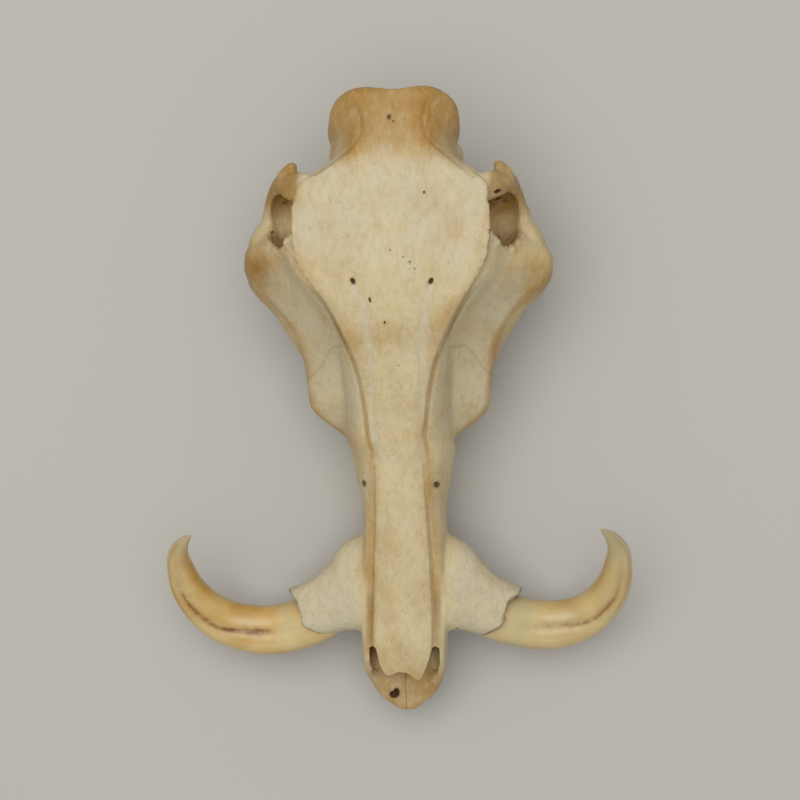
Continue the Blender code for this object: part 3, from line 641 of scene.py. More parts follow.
def line_distance(x, y, line):
    """Distance of each (x, y) from a line of points: the least of the distances from its stretches."""
    nearest = np.full(x.shape, np.inf)
    for (x0, y0), (x1, y1) in zip(line[:-1], line[1:]):
        run_x, run_y = x1 - x0, y1 - y0
        share = np.clip(((x - x0) * run_x + (y - y0) * run_y) / (run_x**2 + run_y**2), 0, 1)
        nearest = np.minimum(nearest, np.hypot(x - x0 - share * run_x, y - y0 - share * run_y))
    return nearest


def by_lines(x, y, lines, width):
    """How near each (x, y) is to the lines: 1 on a line, falling to about a third at width."""
    return sum(bump_at(line_distance(x, y, line), width) for line in lines)


def orbit_depth(points):
    """How far inside the eye socket's hollow a point lies: 0 at its centre, 1 on its skin."""
    (cx, cy, cz), radii, turn = ORBIT
    x, y, z = np.abs(points[:, 0]) - cx, points[:, 1] - cy, points[:, 2] - cz
    a = math.radians(turn)
    across, up = math.cos(a) * x - math.sin(a) * z, math.sin(a) * x + math.cos(a) * z
    return np.sqrt((across / radii[0]) ** 2 + (y / radii[1]) ** 2 + (up / radii[2]) ** 2)


def lean(points):
    """How far the skull leans in X at each point: the roof's lean high up, the lower one low down."""
    rise = np.clip((points[:, 2] - SKEW_RISE[0]) / (SKEW_RISE[1] - SKEW_RISE[0]), 0, 1)
    return rise * along(SKEW_ROOF, points[:, 1]) + (1 - rise) * along(SKEW_LOW, points[:, 1])


def ridge_groove(ax, y, z, width):
    """How near a point is to the groove at the foot of the ridge beside the forehead and snout."""
    middle = along(DORSUM_HALF, y) + along(GROOVE_FOOT, y)
    return bump_at(ax - middle, width) * within(y, -34, -10, 60, 82) * ramp(z, 84, 96)


def carve_details(mesh):
    """Moves the bone's points along their normals, then sideways by the skull's lean.

    The move is a sum of hills and grooves: each is a height in millimetres times exp(-(distance / width)
    ** 2) of the distance from its line, times the share of the skin that it is found on.
    """
    p, n = points_of(mesh)
    x, y, z = p.T
    ax = np.abs(x)
    seen_x = x + lean(p)
    edge, nasal_edge = along(DORSUM_HALF, y), along(NASAL_HALF, y)
    top = ramp(n[:, 2], 0.2, 0.7) * ramp(z - along(ROOF_Z, y), -16, -9)
    beside = within(-y, 40, 75, 142, 152) * ramp(n[:, 2], 0.0, 0.3) * ramp(z, 60, 66)
    socket_rim = bump_at(orbit_depth(p) - 1.12, 0.15) * (1 - ramp(y, 106, 116))
    socket_rim *= ramp(n[:, 2], -0.2, 0.5) * ramp(ax, 55, 60)
    reliefs = (
        # slow unevenness all over
        (0.22, ripple(p, 30, 1)),
        (0.05, ripple(p, 9, 2)),
        # the forehead's soft rims, and its slight hollow
        (0.5, bump_at(ax - edge + 3.5, 4) * within(y, 40, 100, 145, 160) * top),
        (-0.7, bump_at(ax - edge + 14, 9) * within(y, 90, 110, 130, 150) * top),
        # the groove at the foot of the ridge, which is also painted darker with honey stain and painted
        # shade
        (-1.6, ridge_groove(ax, y, z, 1.3)),
        # the groove between the nasal bones and the snout's side, and the swelling outside it
        (-1.1, bump_at(ax - nasal_edge - 1.6, 1.2) * beside),
        (0.6, bump_at(ax - nasal_edge - 6.5, 2.2) * beside),
        # the temporal lines and the bands ahead of the brow holes
        (-0.7, by_lines(seen_x, y, TEMPORAL_LINES, 1.1) * ramp(z, 128, 138)),
        (-0.7, by_lines(seen_x, y, BROW_BANDS, 1.9) * top),
        # knobs on the eye socket's front rim
        (1.3, socket_rim),
        (0.9, socket_rim * ripple(p, 5, 3)),
        # the rough flare of the tusk sockets
        (0.22, ramp(ax, 40, 66) * bump_at(y + 128, 26) * ramp(ax, 28, 40) * ripple(p, 6, 4)),
    )
    moved = p + n * sum(height * place for height, place in reliefs)[:, None]
    moved[:, 0] += lean(moved)
    mesh.vertices.foreach_set("co", (moved * MM).ravel())
    mesh.update()


def pitted(whole):
    """The bone with its small holes sunk, each centred on the skin at its place seen from above."""
    points = points_of(whole.data)[0]
    holes = []
    for (x, y), radii, turn in FORAMINA:
        near = np.hypot(points[:, 0] - x, points[:, 1] - y) < SKIN_SEARCH
        holes.append(ellipsoid("hole", (x, y, points[near, 2].max()), radii, (0, 0, turn), fine=8))
    # the two halves of the heart-shaped hole overlap, so they are cut one after the other
    return boolean(whole, [joined("holes", holes[::2]), joined("holes", holes[1::2])], "DIFFERENCE")


def broken_ends():
    """What is gone past the bone's own edges: outside the tusk sockets' cracked ends, beside and ahead of
    the nasal bones' free end, below the level of the floor, and in the slit between the premaxillae."""
    forms = []
    for hand, side in SIDES.items():
        edge = wavy(SOCKET_EDGE[hand], step=0.9, height=0.28, seed=30 + side)
        outline = np.concatenate([edge, [(SOCKET_CUT_X, edge[-1][1]), (SOCKET_CUT_X, edge[0][1])]])
        forms.append(prism("socket_end", outline * (side, 1), high=SOCKET_CUT_Z))
    outline = [*NASAL_END, (22.4, -166), (20, -174), (-20.4, -174), (-22.8, -166)]
    forms.append(prism("nasal_end", outline, NASAL_FLOOR, NOSE_CUT_Z))
    forms += [prism("nostril", outline, NOSTRIL_FLOOR, NOSE_CUT_Z) for outline in NOSTRILS]
    forms.append(prism("below", ((-FAR, -FAR), (FAR, -FAR), (FAR, FAR), (-FAR, FAR)), -60, 0))
    near, far = PREMAXILLA_REAR_Y, -230
    (left, right), (low, high) = SLIT_WIDTH, SLIT_HEIGHT
    forms.append(prism("slit", ((left, far), (right, far), (right, near), (left, near)), low, high))
    return forms


def wavy(points, step=1.2, height=0.35, seed=5):
    """A line through points, resampled every step mm, each new point moved sideways by soft noise."""
    points = np.asarray(points, float)
    lengths = np.concatenate([[0], np.cumsum(np.linalg.norm(np.diff(points, axis=0), axis=1))])
    at = np.arange(0, lengths[-1], step)
    line = np.stack([np.interp(at, lengths, points[:, 0]), np.interp(at, lengths, points[:, 1])], 1)
    tangent = np.gradient(line, axis=0)
    tangent /= np.linalg.norm(tangent, axis=1)[:, None]
    sideways = np.stack([-tangent[:, 1], tangent[:, 0]], 1)
    swing = ripple(np.column_stack([line, 0 * at]), 6.5, seed) * height
    return line + sideways * swing[:, None]


def nasal_region(grow=0.0):
    """The space of the nasal bones: over the roof less NASAL_DEPTH, between slightly wavy sides."""
    y = np.linspace(NASAL_HALF[0][0], NASAL_HALF[-1][0] + grow, 240)
    middle = NASAL_MIDDLE_X + 0.15 * ripple(np.column_stack([0 * y, y, 0 * y]), 7, 8)
    half = along(NASAL_HALF, y) + grow
    floor = np.where(y < PREMAXILLA_REAR_Y, NASAL_FLOOR, along(ROOF_Z, y) - NASAL_DEPTH) - grow
    roof = floor + 60
    x = np.stack([middle - half, middle + half, middle + half, middle - half], 1)
    z = np.stack([floor, floor, roof, roof], 1)
    return closed_tube("nasal_region", np.stack([x, np.repeat(y[:, None], 4, 1), z], -1))


def cheekbone_region(side, grow=0.0):
    """The space of one cheekbone, outside a wavy line over the cheek and through the eye socket."""
    edge = wavy(np.array(CHEEKBONE_EDGE) - (grow, 0), seed=9)
    outline = np.concatenate([edge, [(200, CHEEKBONE_EDGE[-1][1] + grow), (200, CHEEKBONE_EDGE[0][1])]])
    return prism("cheekbone_region", outline * (side, 1))


def face_region(shift):
    """The space ahead of the suture between face and braincase, moved by shift along Y."""
    x = np.linspace(-70, 70, 260)
    y = along(FACE_REAR_Y, np.abs(x)) + shift + 0.5 * ripple(np.column_stack([x, 0 * x, 0 * x]), 5, 11)
    return prism("face_region", [(-200, -400), (-200, y[0]), *zip(x, y), (200, y[-1]), (200, -400)])


def largest_shell(obj):
    """Only the largest closed surface stays, found by spreading the lowest label over the edges."""
    mesh = obj.data
    edges = np.empty(len(mesh.edges) * 2, int)
    mesh.edges.foreach_get("vertices", edges)
    a, b = edges.reshape(-1, 2).T
    label = np.arange(len(mesh.vertices))
    while True:
        low = np.minimum(label[a], label[b])
        before = label.copy()
        np.minimum.at(label, a, low)
        np.minimum.at(label, b, low)
        label = label[label]
        if (label == before).all():
            break
    kept = np.bincount(label).argmax()
    work = bmesh.new()
    work.from_mesh(mesh)
    work.verts.ensure_lookup_table()
    gone = [work.verts[i] for i in np.nonzero(label != kept)[0]]
    bmesh.ops.delete(work, geom=gone, context="VERTS")
    work.to_mesh(mesh)
    work.free()
    return obj


def bone_piece(whole, node, keep, away=()):
    """A copy of the bone inside the keep form and outside the away forms, named for its node."""
    piece = linked("bone_" + node, whole.data.copy())
    boolean(piece, [keep], "INTERSECT")
    boolean(piece, away, "DIFFERENCE")
    return largest_shell(piece)


def fused_bone():
    """The whole cranium fused from its forms, opened, evened out, carved and broken as the real one is."""
    forms = [core(), nasal_roof()]
    for form in paired_forms():
        forms += [mirrored(form), form]
    whole = remeshed(joined("bone", forms), FUSE_VOXEL)
    boolean(whole, hollows(), "DIFFERENCE")
    remeshed(whole, FUSE_VOXEL, SMOOTH_STEPS)
    carve_details(whole.data)
    boolean(whole, broken_ends(), "DIFFERENCE")
    for hand in SIDES:
        boolean(whole, [closed_tube("bore", tusk_rings(hand, 48, grow=TUSK_PLAY))], "DIFFERENCE")
    return pitted(whole)


def bones():
    """The cranium parted along its sutures, by the name of the node that each bone stands for."""
    whole = fused_bone()
    gap, away = SUTURE_WIDTH, NASAL_SUTURE_WIDTH
    pieces = {}
    front, rear = PREMAXILLA_REAR_Y - gap / 2, PREMAXILLA_REAR_Y + gap / 2
    for hand, side in SIDES.items():
        inner, outer = SLIT_X + side * MIDLINE_SLIT / 2, side * FAR
        snout = prism("snout", ((inner, -FAR), (outer, -FAR), (outer, front), (inner, front)))
        node = "premaxilla_" + hand
        pieces[node] = bone_piece(whole, node, snout, [nasal_region(away)])
        node = "cheekbone_" + hand
        pieces[node] = bone_piece(whole, node, cheekbone_region(side), [face_region(gap / 2)])
    pieces["nasal_bones"] = bone_piece(whole, "nasal_bones", nasal_region())
    ahead = prism("ahead", ((-FAR, -FAR), (FAR, -FAR), (FAR, rear), (-FAR, rear)))
    pieces["upper_jaw"] = bone_piece(whole, "upper_jaw", face_region(-gap / 2), [ahead, nasal_region(away)])
    behind = prism("behind", ((-FAR, -20), (FAR, -20), (FAR, FAR), (-FAR, FAR)))
    others = [face_region(gap / 2), nasal_region(away), cheekbone_region(1, gap), cheekbone_region(-1, gap)]
    pieces["braincase"] = bone_piece(whole, "braincase", behind, others)
    remove([whole])
    return pieces


def tusk_section(side):
    """The tusk's section: 1 less a broad furrow on the upper face and a fine line along the outer edge,
    each a depth times exp(-(angle / width) ** 2), with slow waves round and along it."""

    def shape(angle, t):
        outward = angle if side > 0 else math.pi - angle
        furrow = 0.085 * bump_at(turned(outward, furrow_angle(t)), 0.2) * within(t, 0.2, 0.32, 0.72, 0.95)
        line = 0.03 * bump_at(turned(outward, edge_angle(t)), 0.08) * within(t, 0.5, 0.6, 0.93, 1)
        waves = 0.004 * np.sin(31 * t + 2 * np.cos(angle)) + 0.012 * np.sin(2 * angle + 5 * t)
        return 1 + waves - furrow - line

    return shape


def furrow_angle(share):
    """Where the furrow of the tusk's upper face runs: near the middle by the socket, outwards at the bend.

    The share is that of the path's length, and the angle 1.28 plus a step of 0.3 and a slow wave of 0.03.
    """
    return 1.28 + 0.3 * (1 - ramp(share, 0.32, 0.56)) + 0.03 * np.sin(17 * share)


def edge_angle(share):
    """Where the fine line beside the tusk's outer edge runs: at 0.6, climbing by 0.8 towards the tip."""
    return 0.6 + 0.8 * ramp(share, 0.75, 1.0)


def turned(angle, towards):
    """The angle measured from another, between -pi and pi."""
    return np.angle(np.exp(1j * (angle - towards)))


def tusk(hand):
    """A tusk: a grid of share along its path and angle round its section, with tints as attributes."""
    side = SIDES[hand]
    made = closed_tube("ivory_tusk_" + hand, tusk_rings(hand, TUSK_AROUND, shape=tusk_section(side)))
    # the two last points are the middles of the ends
    share = np.append(np.repeat(np.linspace(0, 1, TUSK_STEPS), TUSK_AROUND), [0, 1])
    round_it = np.linspace(0, 2 * math.pi, TUSK_AROUND, endpoint=False)
    angle = np.append(np.tile(round_it, TUSK_STEPS), [0, 0])
    tint(made.data, tusk_tints(hand, angle if side > 0 else math.pi - angle, share))
    return made


def tint(mesh, layers):
    """Writes each layer of values as an attribute of the mesh's points, kept between its floor and 1."""
    for name, values in layers.items():
        layer = mesh.attributes.new(name, "FLOAT", "POINT")
        layer.data.foreach_set("value", np.clip(values, TINT_FLOOR.get(name, 0), 1))


def tusk_tints(hand, outward, share):
    """How amber, brown and chalky the tusk is at each angle and share of its length.

    The amber is strongest along the inner edge, the brown lies in the furrow up to the bend and in the line
    along the outer edge, and the chalky bloom covers the part by the socket and the tip.
    """
    flow = np.column_stack([6 * np.cos(outward), 6 * np.sin(outward), 60 * share])
    streaks = 0.14 * ripple(flow, 9, 41) + 0.08 * ripple(flow * (2.2, 2.2, 0.35), 4, 43)
    inner = bump_at(turned(outward, 2.6), 0.55)
    off = turned(outward, furrow_angle(share))
    chalk = 0.7 * bump_at(share - 0.24, 0.05) * ramp(np.sin(outward), -0.2, 0.6)
    furrow = 1.2 * FURROW_BROWN[hand] * bump_at(off, 0.1) * within(share, 0.3, 0.36, 0.62, 0.72)
    furrow += 0.3 * bump_at(off, 0.3) * within(share, 0.2, 0.35, 0.7, 0.85)
    line = 0.7 * bump_at(turned(outward, edge_angle(share)), 0.045) * within(share, 0.52, 0.62, 0.93, 1)
    return {
        "amber": TUSK_AMBER[hand] + 0.35 * inner + streaks - 0.5 * chalk,
        "brown": furrow + line,
        "chalk": TUSK_CHALK[hand] + 0.6 * chalk + 0.8 * ramp(share, 0.75, 1.0) + 0.1 * ripple(flow, 7, 42),
    }


def teeth():
    """Cheek teeth: crowns whose outline waves in and out between their columns, worn flat below."""
    made = []
    for middle, length, width in CHEEK_TEETH:
        x = float(along(TOOTH_ROW_X, middle))
        columns = max(2, round(length / TOOTH_COLUMN))

        def shape(angle, t, columns=columns):
            return 1 + 0.05 * np.cos(2 * columns * angle) * (1 - 0.3 * t)

        path = ((x - 1, middle, 23), (x, middle, 8), (x, middle, 0.0))
        half_width = (width / 2 - 1, width / 2, width / 2 - 0.4)
        half_length = (length / 2 - 0.8, length / 2 - 0.2, length / 2 - 0.5)
        rings = swept_rings(path, half_width, half_length, (0, 1, 0), 96, 16, 3.2, shape=shape)
        crown = closed_tube("tooth", rings)
        made += [mirrored(crown), crown]
    return joined("enamel_cheek_teeth", made)


def hole_shadows(x, y):
    """How far inside a small hole each (x, y) seen from above lies, less dark in the smaller holes."""
    shadow = np.zeros(len(x))
    for (hole_x, hole_y), radii, turn in FORAMINA:
        a = math.radians(turn)
        u = (x - hole_x) * math.cos(a) + (y - hole_y) * math.sin(a)
        v = (y - hole_y) * math.cos(a) - (x - hole_x) * math.sin(a)
        dark = min(1.0, 0.35 + 0.3 * max(radii[:2]))
        shadow = np.maximum(shadow, dark * (1 - ramp(np.hypot(u / radii[0], v / radii[1]), 0.9, 1.5)))
    return shadow


def stain_and_shade_bone(mesh):
    """Writes the bone's tints as point attributes: each is the sum of its places, as strength times share.

    Honey is the grease left in rims, crests, corners and both ends; grey is the bleached slope of the
    cheeks, the bands ahead of the brow holes and the tusk sockets; shade is painted shade in the eye
    sockets, the nostrils' rear ends, the small holes, the groove at the ridge's foot and on faces that look
    down, a little painted shade on the cheek slopes, the crest's top and the right cheek corner, and the
    darker colour of the sutures, the slit, the temporal lines, the sockets' cracked edges and the spike;
    porous says where the pores stand open, on the snout and the tusk sockets.
    """
    p, n = points_of(mesh)
    seen_x, seen_y = p[:, 0].copy(), p[:, 1].copy()
    p[:, 0] -= lean(p)
    x, y, z = p.T
    ax = np.abs(x)
    edge, cheek_edge, nasal_edge = (along(profile, y) for profile in (DORSUM_HALF, CHEEK_OUT_X, NASAL_HALF))
    rise = z - along(ROOF_Z, y)
    top = ramp(rise, -14, -6) * ramp(n[:, 2], 0.1, 0.8)
    crest = ramp(y, 142, 172) * ramp(z, 84, 130)
    corner = bump_at(np.hypot(ax - 92, y - 88), 17)
    end = ramp(-y, 158, 176)
    low_end = end * (1 - ramp(z, 55, 60))
    orbit = (1 - ramp(orbit_depth(p), 1.03, 1.14)) * ramp(ax, 52, 56)
    slope = ramp(ax - edge, 5, 11) * (1 - ramp(ax - cheek_edge, -7, -1))
    socket = ramp(ax, 27, 33) * ramp(-y, 70, 90)
    nose = (1 - ramp(ax, 22, 25)) * (1 - ramp(rise, -9, -4)) * ramp(-y, 110, 120)
    crack = np.where(x > 0, *(line_distance(ax, seen_y, SOCKET_EDGE[hand]) for hand in SIDES))
    face_suture = bump_at(seen_y - along(FACE_REAR_Y, np.abs(seen_x)), 0.8)
    nasal_suture = bump_at(np.abs(x - NASAL_MIDDLE_X) - nasal_edge - 0.3, 0.6)
    # strength of honey, grey and shade, and the share of the skin that has it
    places = (
        # everywhere
        (0.12, 0, 0, 1.0),
        # clouds
        (1, 0, 0, 0.13 * ripple(p, 45, 21) + 0.07 * ripple(p, 16, 22)),
        # bleached patches
        (0, 0.14, 0, ripple(p, 24, 24)),
        # forehead
        (0, 0.55, 0, top * ramp(y, 60, 110) * (1 - crest)),
        # forehead rims
        (0.4, 0, 0, bump_at(ax - edge + 2, 5.5) * ramp(y, -30, 60) * ramp(rise, -18, -6)),
        # brow bands
        (0, 0.75, 0, by_lines(seen_x, seen_y, BROW_BANDS, 2.6) * top),
        # crest
        (0.6, -0.6, 0, crest),
        # top of the crest: honey stain and a little painted shade
        (0.25, 0, 0.08, crest * top),
        # temporal lines
        (0, 0, 0.3, by_lines(seen_x, seen_y, TEMPORAL_LINES, 0.8) * ramp(z, 128, 138)),
        # ridge groove: honey stain and painted shade in the groove
        (0.5, 0, 0.34, ridge_groove(ax, y, z, 1.1)),
        # cheek slope: bleached grey and honey, with a little painted shade
        (0.08, 0.5, 0.08, slope * within(y, -20, 0, 84, 96)),
        # cheek flange
        (0.45, 0, 0, bump_at(ax - cheek_edge + 1, 4.5) * within(y, -24, -12, 70, 90)),
        # cheek corner
        (0.65, -0.4, 0, corner),
        # the animal's right cheek corner: painted shade
        (0, 0, 0.3, corner * ramp(-x, 60, 80)),
        # spike
        (0.9, -0.5, 0.16, ramp(ax, 54, 60) * ramp(y, 118, 134)),
        # eye socket
        (0, -0.3, 0, orbit),
        # eye socket's front
        (0.3, 0, 0, orbit * (1 - ramp(y, 118, 128))),
        # eye socket's front corner: painted shade in the hollow
        (0, 0, 0.32, orbit * (1 - ramp(y, 106, 114))),
        # snout side
        (0.5, -0.3, 0, bump_at(ax - nasal_edge - 2.2, 3) * within(-y, -10, 40, 150, 160)),
        # snout end
        (0.45, 0, 0, end),
        # low snout end
        (0.15, 0, 0, low_end),
        # right premaxilla
        (0.15, 0, 0, low_end * (x < NASAL_MIDDLE_X)),
        # nose
        (0.35, 0, 0, nose),
        # deep nose: painted shade at the nostrils' rear ends, under the nasal bones
        (0, 0, 0.6, nose * (1 - ramp(-y, 151, 157))),
        # tusk socket
        (0, 0.85, 0, socket),
        # socket's crack
        (0, 0, 0.75, bump_at(crack, 0.9) * socket),
        # face suture
        (0, 0, 0.2, face_suture * ramp(ax - edge, 4, 8)),
        # nasal suture
        (0, 0, 0.3, nasal_suture * within(-y, 10, 60, 148, 152) * ramp(rise, -8, -4)),
        # slit
        (0, 0, 0.15, bump_at(seen_x - SLIT_X, 0.5) * ramp(-y, 152, 154) * (1 - ramp(z, 54, 57))),
        # holes: painted shade inside the small holes
        (0, 0, 0.75, hole_shadows(seen_x, seen_y)),
        # underside: painted shade on faces that look down
        (0, 0, 0.3, ramp(-n[:, 2], 0.0, 0.8)),
    )
    names = ("honey", "grey", "shade")
    layers = {name: sum(place[i] * place[-1] for place in places) for i, name in enumerate(names)}
    layers["porous"] = 0.4 + 0.6 * np.maximum(ramp(-y, 30, 80), 0.8 * socket) + 0.15 * ripple(p, 18, 25)
    tint(mesh, layers)


def linear(hex_colour):
    """An sRGB hex colour as linear RGBA."""
    raw = [int(hex_colour[i : i + 2], 16) / 255 for i in (1, 3, 5)]
    return (*(c / 12.92 if c <= 0.04045 else ((c + 0.055) / 1.055) ** 2.4 for c in raw), 1.0)


def add(tree, kind, inputs=None, **settings):
    """A new node of a kind, with its settings, each input set to a value or linked to another's socket."""
    made = tree.nodes.new(kind)
    for name, value in settings.items():
        setattr(made, name, value)
    for key, value in (inputs or {}).items():
        if isinstance(value, bpy.types.NodeSocket):
            tree.links.new(value, made.inputs[key])
        else:
            made.inputs[key].default_value = value
    return made


def blank(name):
    """A new material, its node tree with only the shader and output, and the shader."""
    made = bpy.data.materials.new(name)
    made.use_nodes = True
    return made, made.node_tree, made.node_tree.nodes["Principled BSDF"]


def dry_bone():
    """Boiled and weathered bone: matt cream under clouds of honey-brown grease, bleached to a chalky grey
    on the slopes, mottled, with fine open pores, specks of dirt, and painted shade in its hollows, holes,
    grooves and undersides, mixed with the darker colour of its sutures."""
    made, tree, shader = blank("dry_bone")
    place = add(tree, "ShaderNodeTexCoord").outputs["Object"]
    # drawn out along the skull: a little for the clouds and spots, strongly for the grain
    drawn, grained = (
        add(tree, "ShaderNodeMapping", {"Vector": place, "Scale": (1.0, along_y, 1.0)}).outputs[0]
        for along_y in (0.5, 0.18)
    )
    honey, grey, shade, porous = (
        add(tree, "ShaderNodeAttribute", attribute_name=name).outputs["Fac"]
        for name in ("honey", "grey", "shade", "porous")
    )
    # what a noise draws: its coordinates, the size of its broadest patches in mm, detail and roughness
    noises = {
        "grease": (drawn, 38.46, 9.0, 0.72),
        "bleach": (drawn, 12.5, 7.0, 0.7),
        "spots": (drawn, 3.3333, 5.0, 0.75),
        "pore_patches": (place, 11.111, 3.0, 0.5),
        "specks": (place, 2.381, 2.0, 0.5),
        "grain": (grained, 1.4286, 4.0, 0.5),
        "tooth": (place, 0.76923, 3.0, 0.5),
    }
    drawing = {}
    for name, (vector, size, detail, roughness) in noises.items():
        inputs = {"Vector": vector, "Scale": 1 / (size * MM), "Detail": detail, "Roughness": roughness}
        drawing[name] = add(tree, "ShaderNodeTexNoise", inputs).outputs["Fac"]
    cells = {"Vector": place, "Scale": 1 / (PORE_SPACING * MM)}
    drawing["pores"] = add(tree, "ShaderNodeTexVoronoi", cells).outputs["Distance"]
    # how much of it there is: the drawing, the two values that are read, and the amounts they stand for
    spreads = {
        "grease": ("grease", 0.3, 0.7, -0.3, 0.3),
        "bleach": ("bleach", 0.3, 0.7, -0.35, 0.35),
        "greasier": ("spots", 0.5, 0.75, 0.0, 0.36),
        "drier": ("spots", 0.5, 0.25, 0.0, 0.26),
        "pores": ("pores", 0.05, 0.3, 1.0, 0.0),
        "pore_patches": ("pore_patches", 0.42, 0.62, 0.0, 0.7),
        "specks": ("specks", 0.7, 0.8, 0.0, 0.6),
    }
    amount = {}
    for name, (source, *ends) in spreads.items():
        inputs = {"Value": drawing[source], **dict(zip(RANGE_ENDS, ends))}
        amount[name] = add(tree, "ShaderNodeMapRange", inputs).outputs[0]
    sums = {
        "greased": ("ADD", honey, amount["grease"], True),
        "bleached": ("ADD", grey, amount["bleach"], True),
        "holed": ("MULTIPLY", amount["pores"], amount["pore_patches"], False),
        "rough": ("ADD", drawing["grain"], drawing["tooth"], False),
    }
    for name, (operation, first, second, clamped) in sums.items():
        inputs = {0: first, 1: second}
        made_of = add(tree, "ShaderNodeMath", inputs, operation=operation, use_clamp=clamped)
        amount[name] = made_of.outputs[0]
    holed = add(tree, "ShaderNodeMath", {0: amount["holed"], 1: porous}, operation="MULTIPLY").outputs[0]
    colour = linear("#c8b992")
    for share, over in (
        (amount["greased"], "#a67e39"),
        (amount["bleached"], "#c2b89d"),
        (amount["greasier"], "#937746"),
        (amount["drier"], "#d8cfb6"),
        (holed, "#80633a"),
        (amount["specks"], "#5d4224"),
        # painted shade: hollows, holes, grooves and undersides, with the darker colour of sutures and
        # cracks
        (shade, "#45280c"),
    ):
        inputs = {"Factor": share, 6: colour, 7: linear(over)}
        colour = add(tree, "ShaderNodeMix", inputs, data_type="RGBA").outputs[2]
    # the matt surface's small relief: grain, tooth and spots, with the pores sunk
    relief = add(tree, "ShaderNodeMath", {0: amount["rough"], 1: drawing["spots"]}, operation="ADD")
    sunk = add(tree, "ShaderNodeMath", {0: relief.outputs[0], 1: holed}, operation="SUBTRACT")
    bump = add(tree, "ShaderNodeBump", {"Strength": 0.5, "Distance": 0.5 * MM, "Height": sunk.outputs[0]})
    # greasy patches shine a little more than bleached ones
    ends = dict(zip(RANGE_ENDS, (0.0, 1.0, 0.62, 0.45)))
    gloss = add(tree, "ShaderNodeMapRange", {"Value": amount["greased"], **ends})
    tree.links.new(colour, shader.inputs["Base Color"])
    tree.links.new(gloss.outputs[0], shader.inputs["Roughness"])
    tree.links.new(bump.outputs[0], shader.inputs["Normal"])
    shader.inputs["IOR"].default_value = 1.5
    shader.inputs["Specular IOR Level"].default_value = 0.3
    return made


def tusk_ivory():
    """Tusk dentine, polished by use: cream to amber, brown dirt in the furrow, chalky bloom, soft gloss."""
    made, tree, shader = blank("tusk_ivory")
    place = add(tree, "ShaderNodeTexCoord").outputs["Object"]
    amber, brown, chalk = (
        add(tree, "ShaderNodeAttribute", attribute_name=name).outputs["Fac"]
        for name in ("amber", "brown", "chalk")
    )
    # clouds 20 mm across, where the stain is deeper, and 5 mm, over which the furrow's dirt comes and goes
    cloud, uneven = (
        add(
            tree, "ShaderNodeTexNoise",
            {"Vector": place, "Scale": 1 / (size * MM), "Detail": detail, "Roughness": roughness},
        ).outputs["Fac"]
        for size, detail, roughness in ((20.0, 6.0, 0.6), (5.0, 4.0, 0.5))
    )
    spread, broken, gloss = (
        add(tree, "ShaderNodeMapRange", {"Value": drawing, **dict(zip(RANGE_ENDS, ends))}).outputs[0]
        for drawing, ends in (
            (cloud, (0.3, 0.7, -0.22, 0.22)),
            (uneven, (0.35, 0.6, 0.45, 1.0)),
            (cloud, (0.3, 0.7, 0.42, 0.3)),
        )
    )
    stain = add(tree, "ShaderNodeMath", {0: amber, 1: spread}, operation="ADD", use_clamp=True)
    dirt = add(tree, "ShaderNodeMath", {0: brown, 1: broken}, operation="MULTIPLY", use_clamp=True)
    colour = linear("#d9c48b")
    for share, over in ((stain.outputs[0], "#bb8f44"), (chalk, "#b3a67e"), (dirt.outputs[0], "#74450a")):
        inputs = {"Factor": share, 6: colour, 7: linear(over)}
        colour = add(tree, "ShaderNodeMix", inputs, data_type="RGBA").outputs[2]
    bump = add(tree, "ShaderNodeBump", {"Strength": 0.12, "Distance": 0.3 * MM, "Height": uneven})
    tree.links.new(colour, shader.inputs["Base Color"])
    tree.links.new(gloss, shader.inputs["Roughness"])
    tree.links.new(bump.outputs[0], shader.inputs["Normal"])
    shader.inputs["IOR"].default_value = 1.54
    return made


def tooth_enamel():
    """Worn tooth enamel: ivory white and glossy, with brown tartar in patches of 4.5 mm."""
    made, tree, shader = blank("tooth_enamel")
    place = add(tree, "ShaderNodeTexCoord").outputs["Object"]
    inputs = {"Vector": place, "Scale": 1 / (4.5455 * MM), "Detail": 5.0}
    stain = add(tree, "ShaderNodeTexNoise", inputs).outputs["Fac"]
    ends = dict(zip(RANGE_ENDS, (0.35, 0.7, 0.1, 0.55)))
    amount = add(tree, "ShaderNodeMapRange", {"Value": stain, **ends}).outputs[0]
    inputs = {"Factor": amount, 6: linear("#d6c8a0"), 7: linear("#86673a")}
    colour = add(tree, "ShaderNodeMix", inputs, data_type="RGBA")
    bump = add(tree, "ShaderNodeBump", {"Strength": 0.3, "Distance": 0.3 * MM, "Height": stain})
    tree.links.new(colour.outputs[2], shader.inputs["Base Color"])
    tree.links.new(bump.outputs[0], shader.inputs["Normal"])
    shader.inputs["Roughness"].default_value = 0.32
    shader.inputs["IOR"].default_value = 1.62
    return made


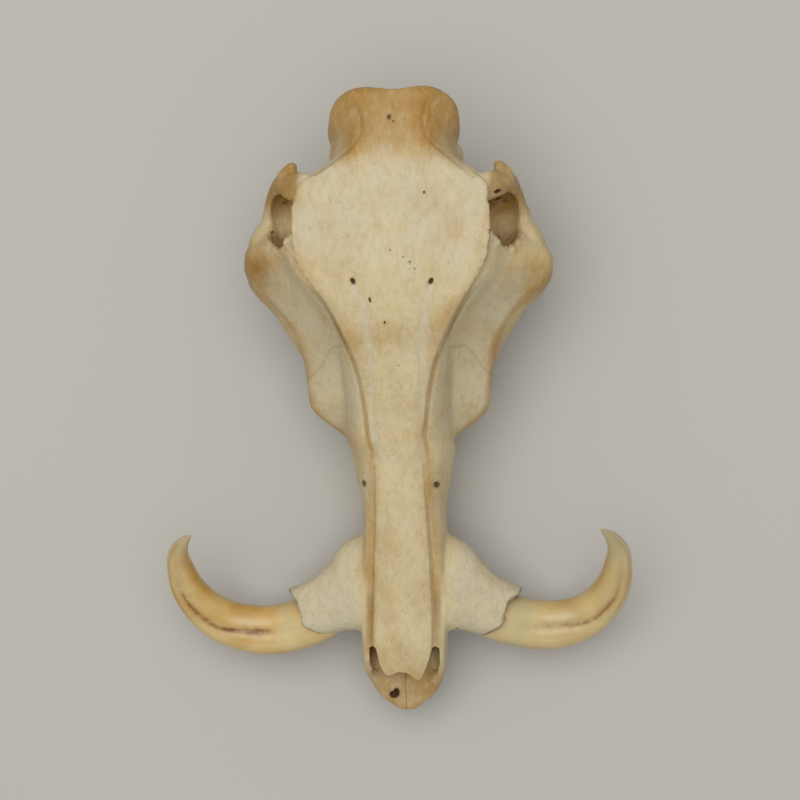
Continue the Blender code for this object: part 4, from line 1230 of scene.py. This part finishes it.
def stage():
    """A plain pale floor, a broad soft lamp over the back of the head, and even light from all round."""
    mesh = bpy.data.meshes.new("floor")
    half = FLOOR_HALF_WIDTH
    corners = [(-half, -half, 0), (half, -half, 0), (half, half, 0), (-half, half, 0)]
    mesh.from_pydata(corners, [], [(0, 1, 2, 3)])
    floor = linked("floor", mesh)
    made, _, shader = blank("plain_floor")
    shader.inputs["Base Color"].default_value = linear("#b9b7b2")
    shader.inputs["Roughness"].default_value = 0.9
    mesh.materials.append(made)
    world = bpy.data.worlds.new("studio")
    world.use_nodes = True
    light = world.node_tree.nodes["Background"].inputs
    light["Color"].default_value = (1.0, 0.99, 0.97, 1.0)
    light["Strength"].default_value = 0.5
    bpy.context.scene.world = world
    lamp = bpy.data.lights.new("soft_lamp", "AREA")
    lamp.shape = "DISK"
    lamp.size = 1.6
    lamp.energy = 18.2
    lamp.color = (1.0, 0.985, 0.95)
    aim = LAMP_PLACE.to_track_quat("Z", "Y").to_matrix().to_4x4()
    linked("soft_lamp", lamp).matrix_world = Matrix.Translation(LAMP_PLACE) @ aim


def camera():
    """The camera looks down on the skull from 1.31 m above it, leaning a little to the animal's left."""
    data = bpy.data.cameras.new("camera")
    data.angle = math.radians(CAMERA_ANGLE)
    data.clip_end = 20
    made = linked("camera", data)
    tilt, roll = (math.radians(turn) for turn in CAMERA_TURN)
    turn = Matrix.Rotation(tilt, 3, "Y") @ Matrix.Rotation(roll, 3, "Z")
    place = CAMERA_TARGET + turn @ Vector((0, 0, CAMERA_DISTANCE))
    made.matrix_world = Matrix.Translation(place) @ turn.to_4x4()
    bpy.context.scene.camera = made


def finish(piece, material, angle=38):
    """Smooth faces with sharp edges where they meet at more than angle degrees, and the piece's finish."""
    mesh = piece.data
    mesh.transform(Matrix.Translation(Vector(MIDLINE_PLACE) * MM))
    mesh.shade_smooth()
    mesh.set_sharp_from_angle(angle=math.radians(angle))
    mesh.materials.clear()
    mesh.materials.append(material)
    mesh.name = piece.name
    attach(piece, "root")


def main():
    """Makes the bones, tusks and teeth with their finishes, then the stage and the camera."""
    bone, ivory, enamel = dry_bone(), tusk_ivory(), tooth_enamel()
    for node, piece in bones().items():
        stain_and_shade_bone(piece.data)
        finish(piece, bone)
        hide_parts(node)
    for hand in SIDES:
        piece = tusk(hand)
        finish(piece, ivory, angle=60)
        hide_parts("tusk_" + hand)
    finish(teeth(), enamel, angle=50)
    stage()
    camera()
    bpy.context.scene.view_settings.view_transform = "Standard"


main()
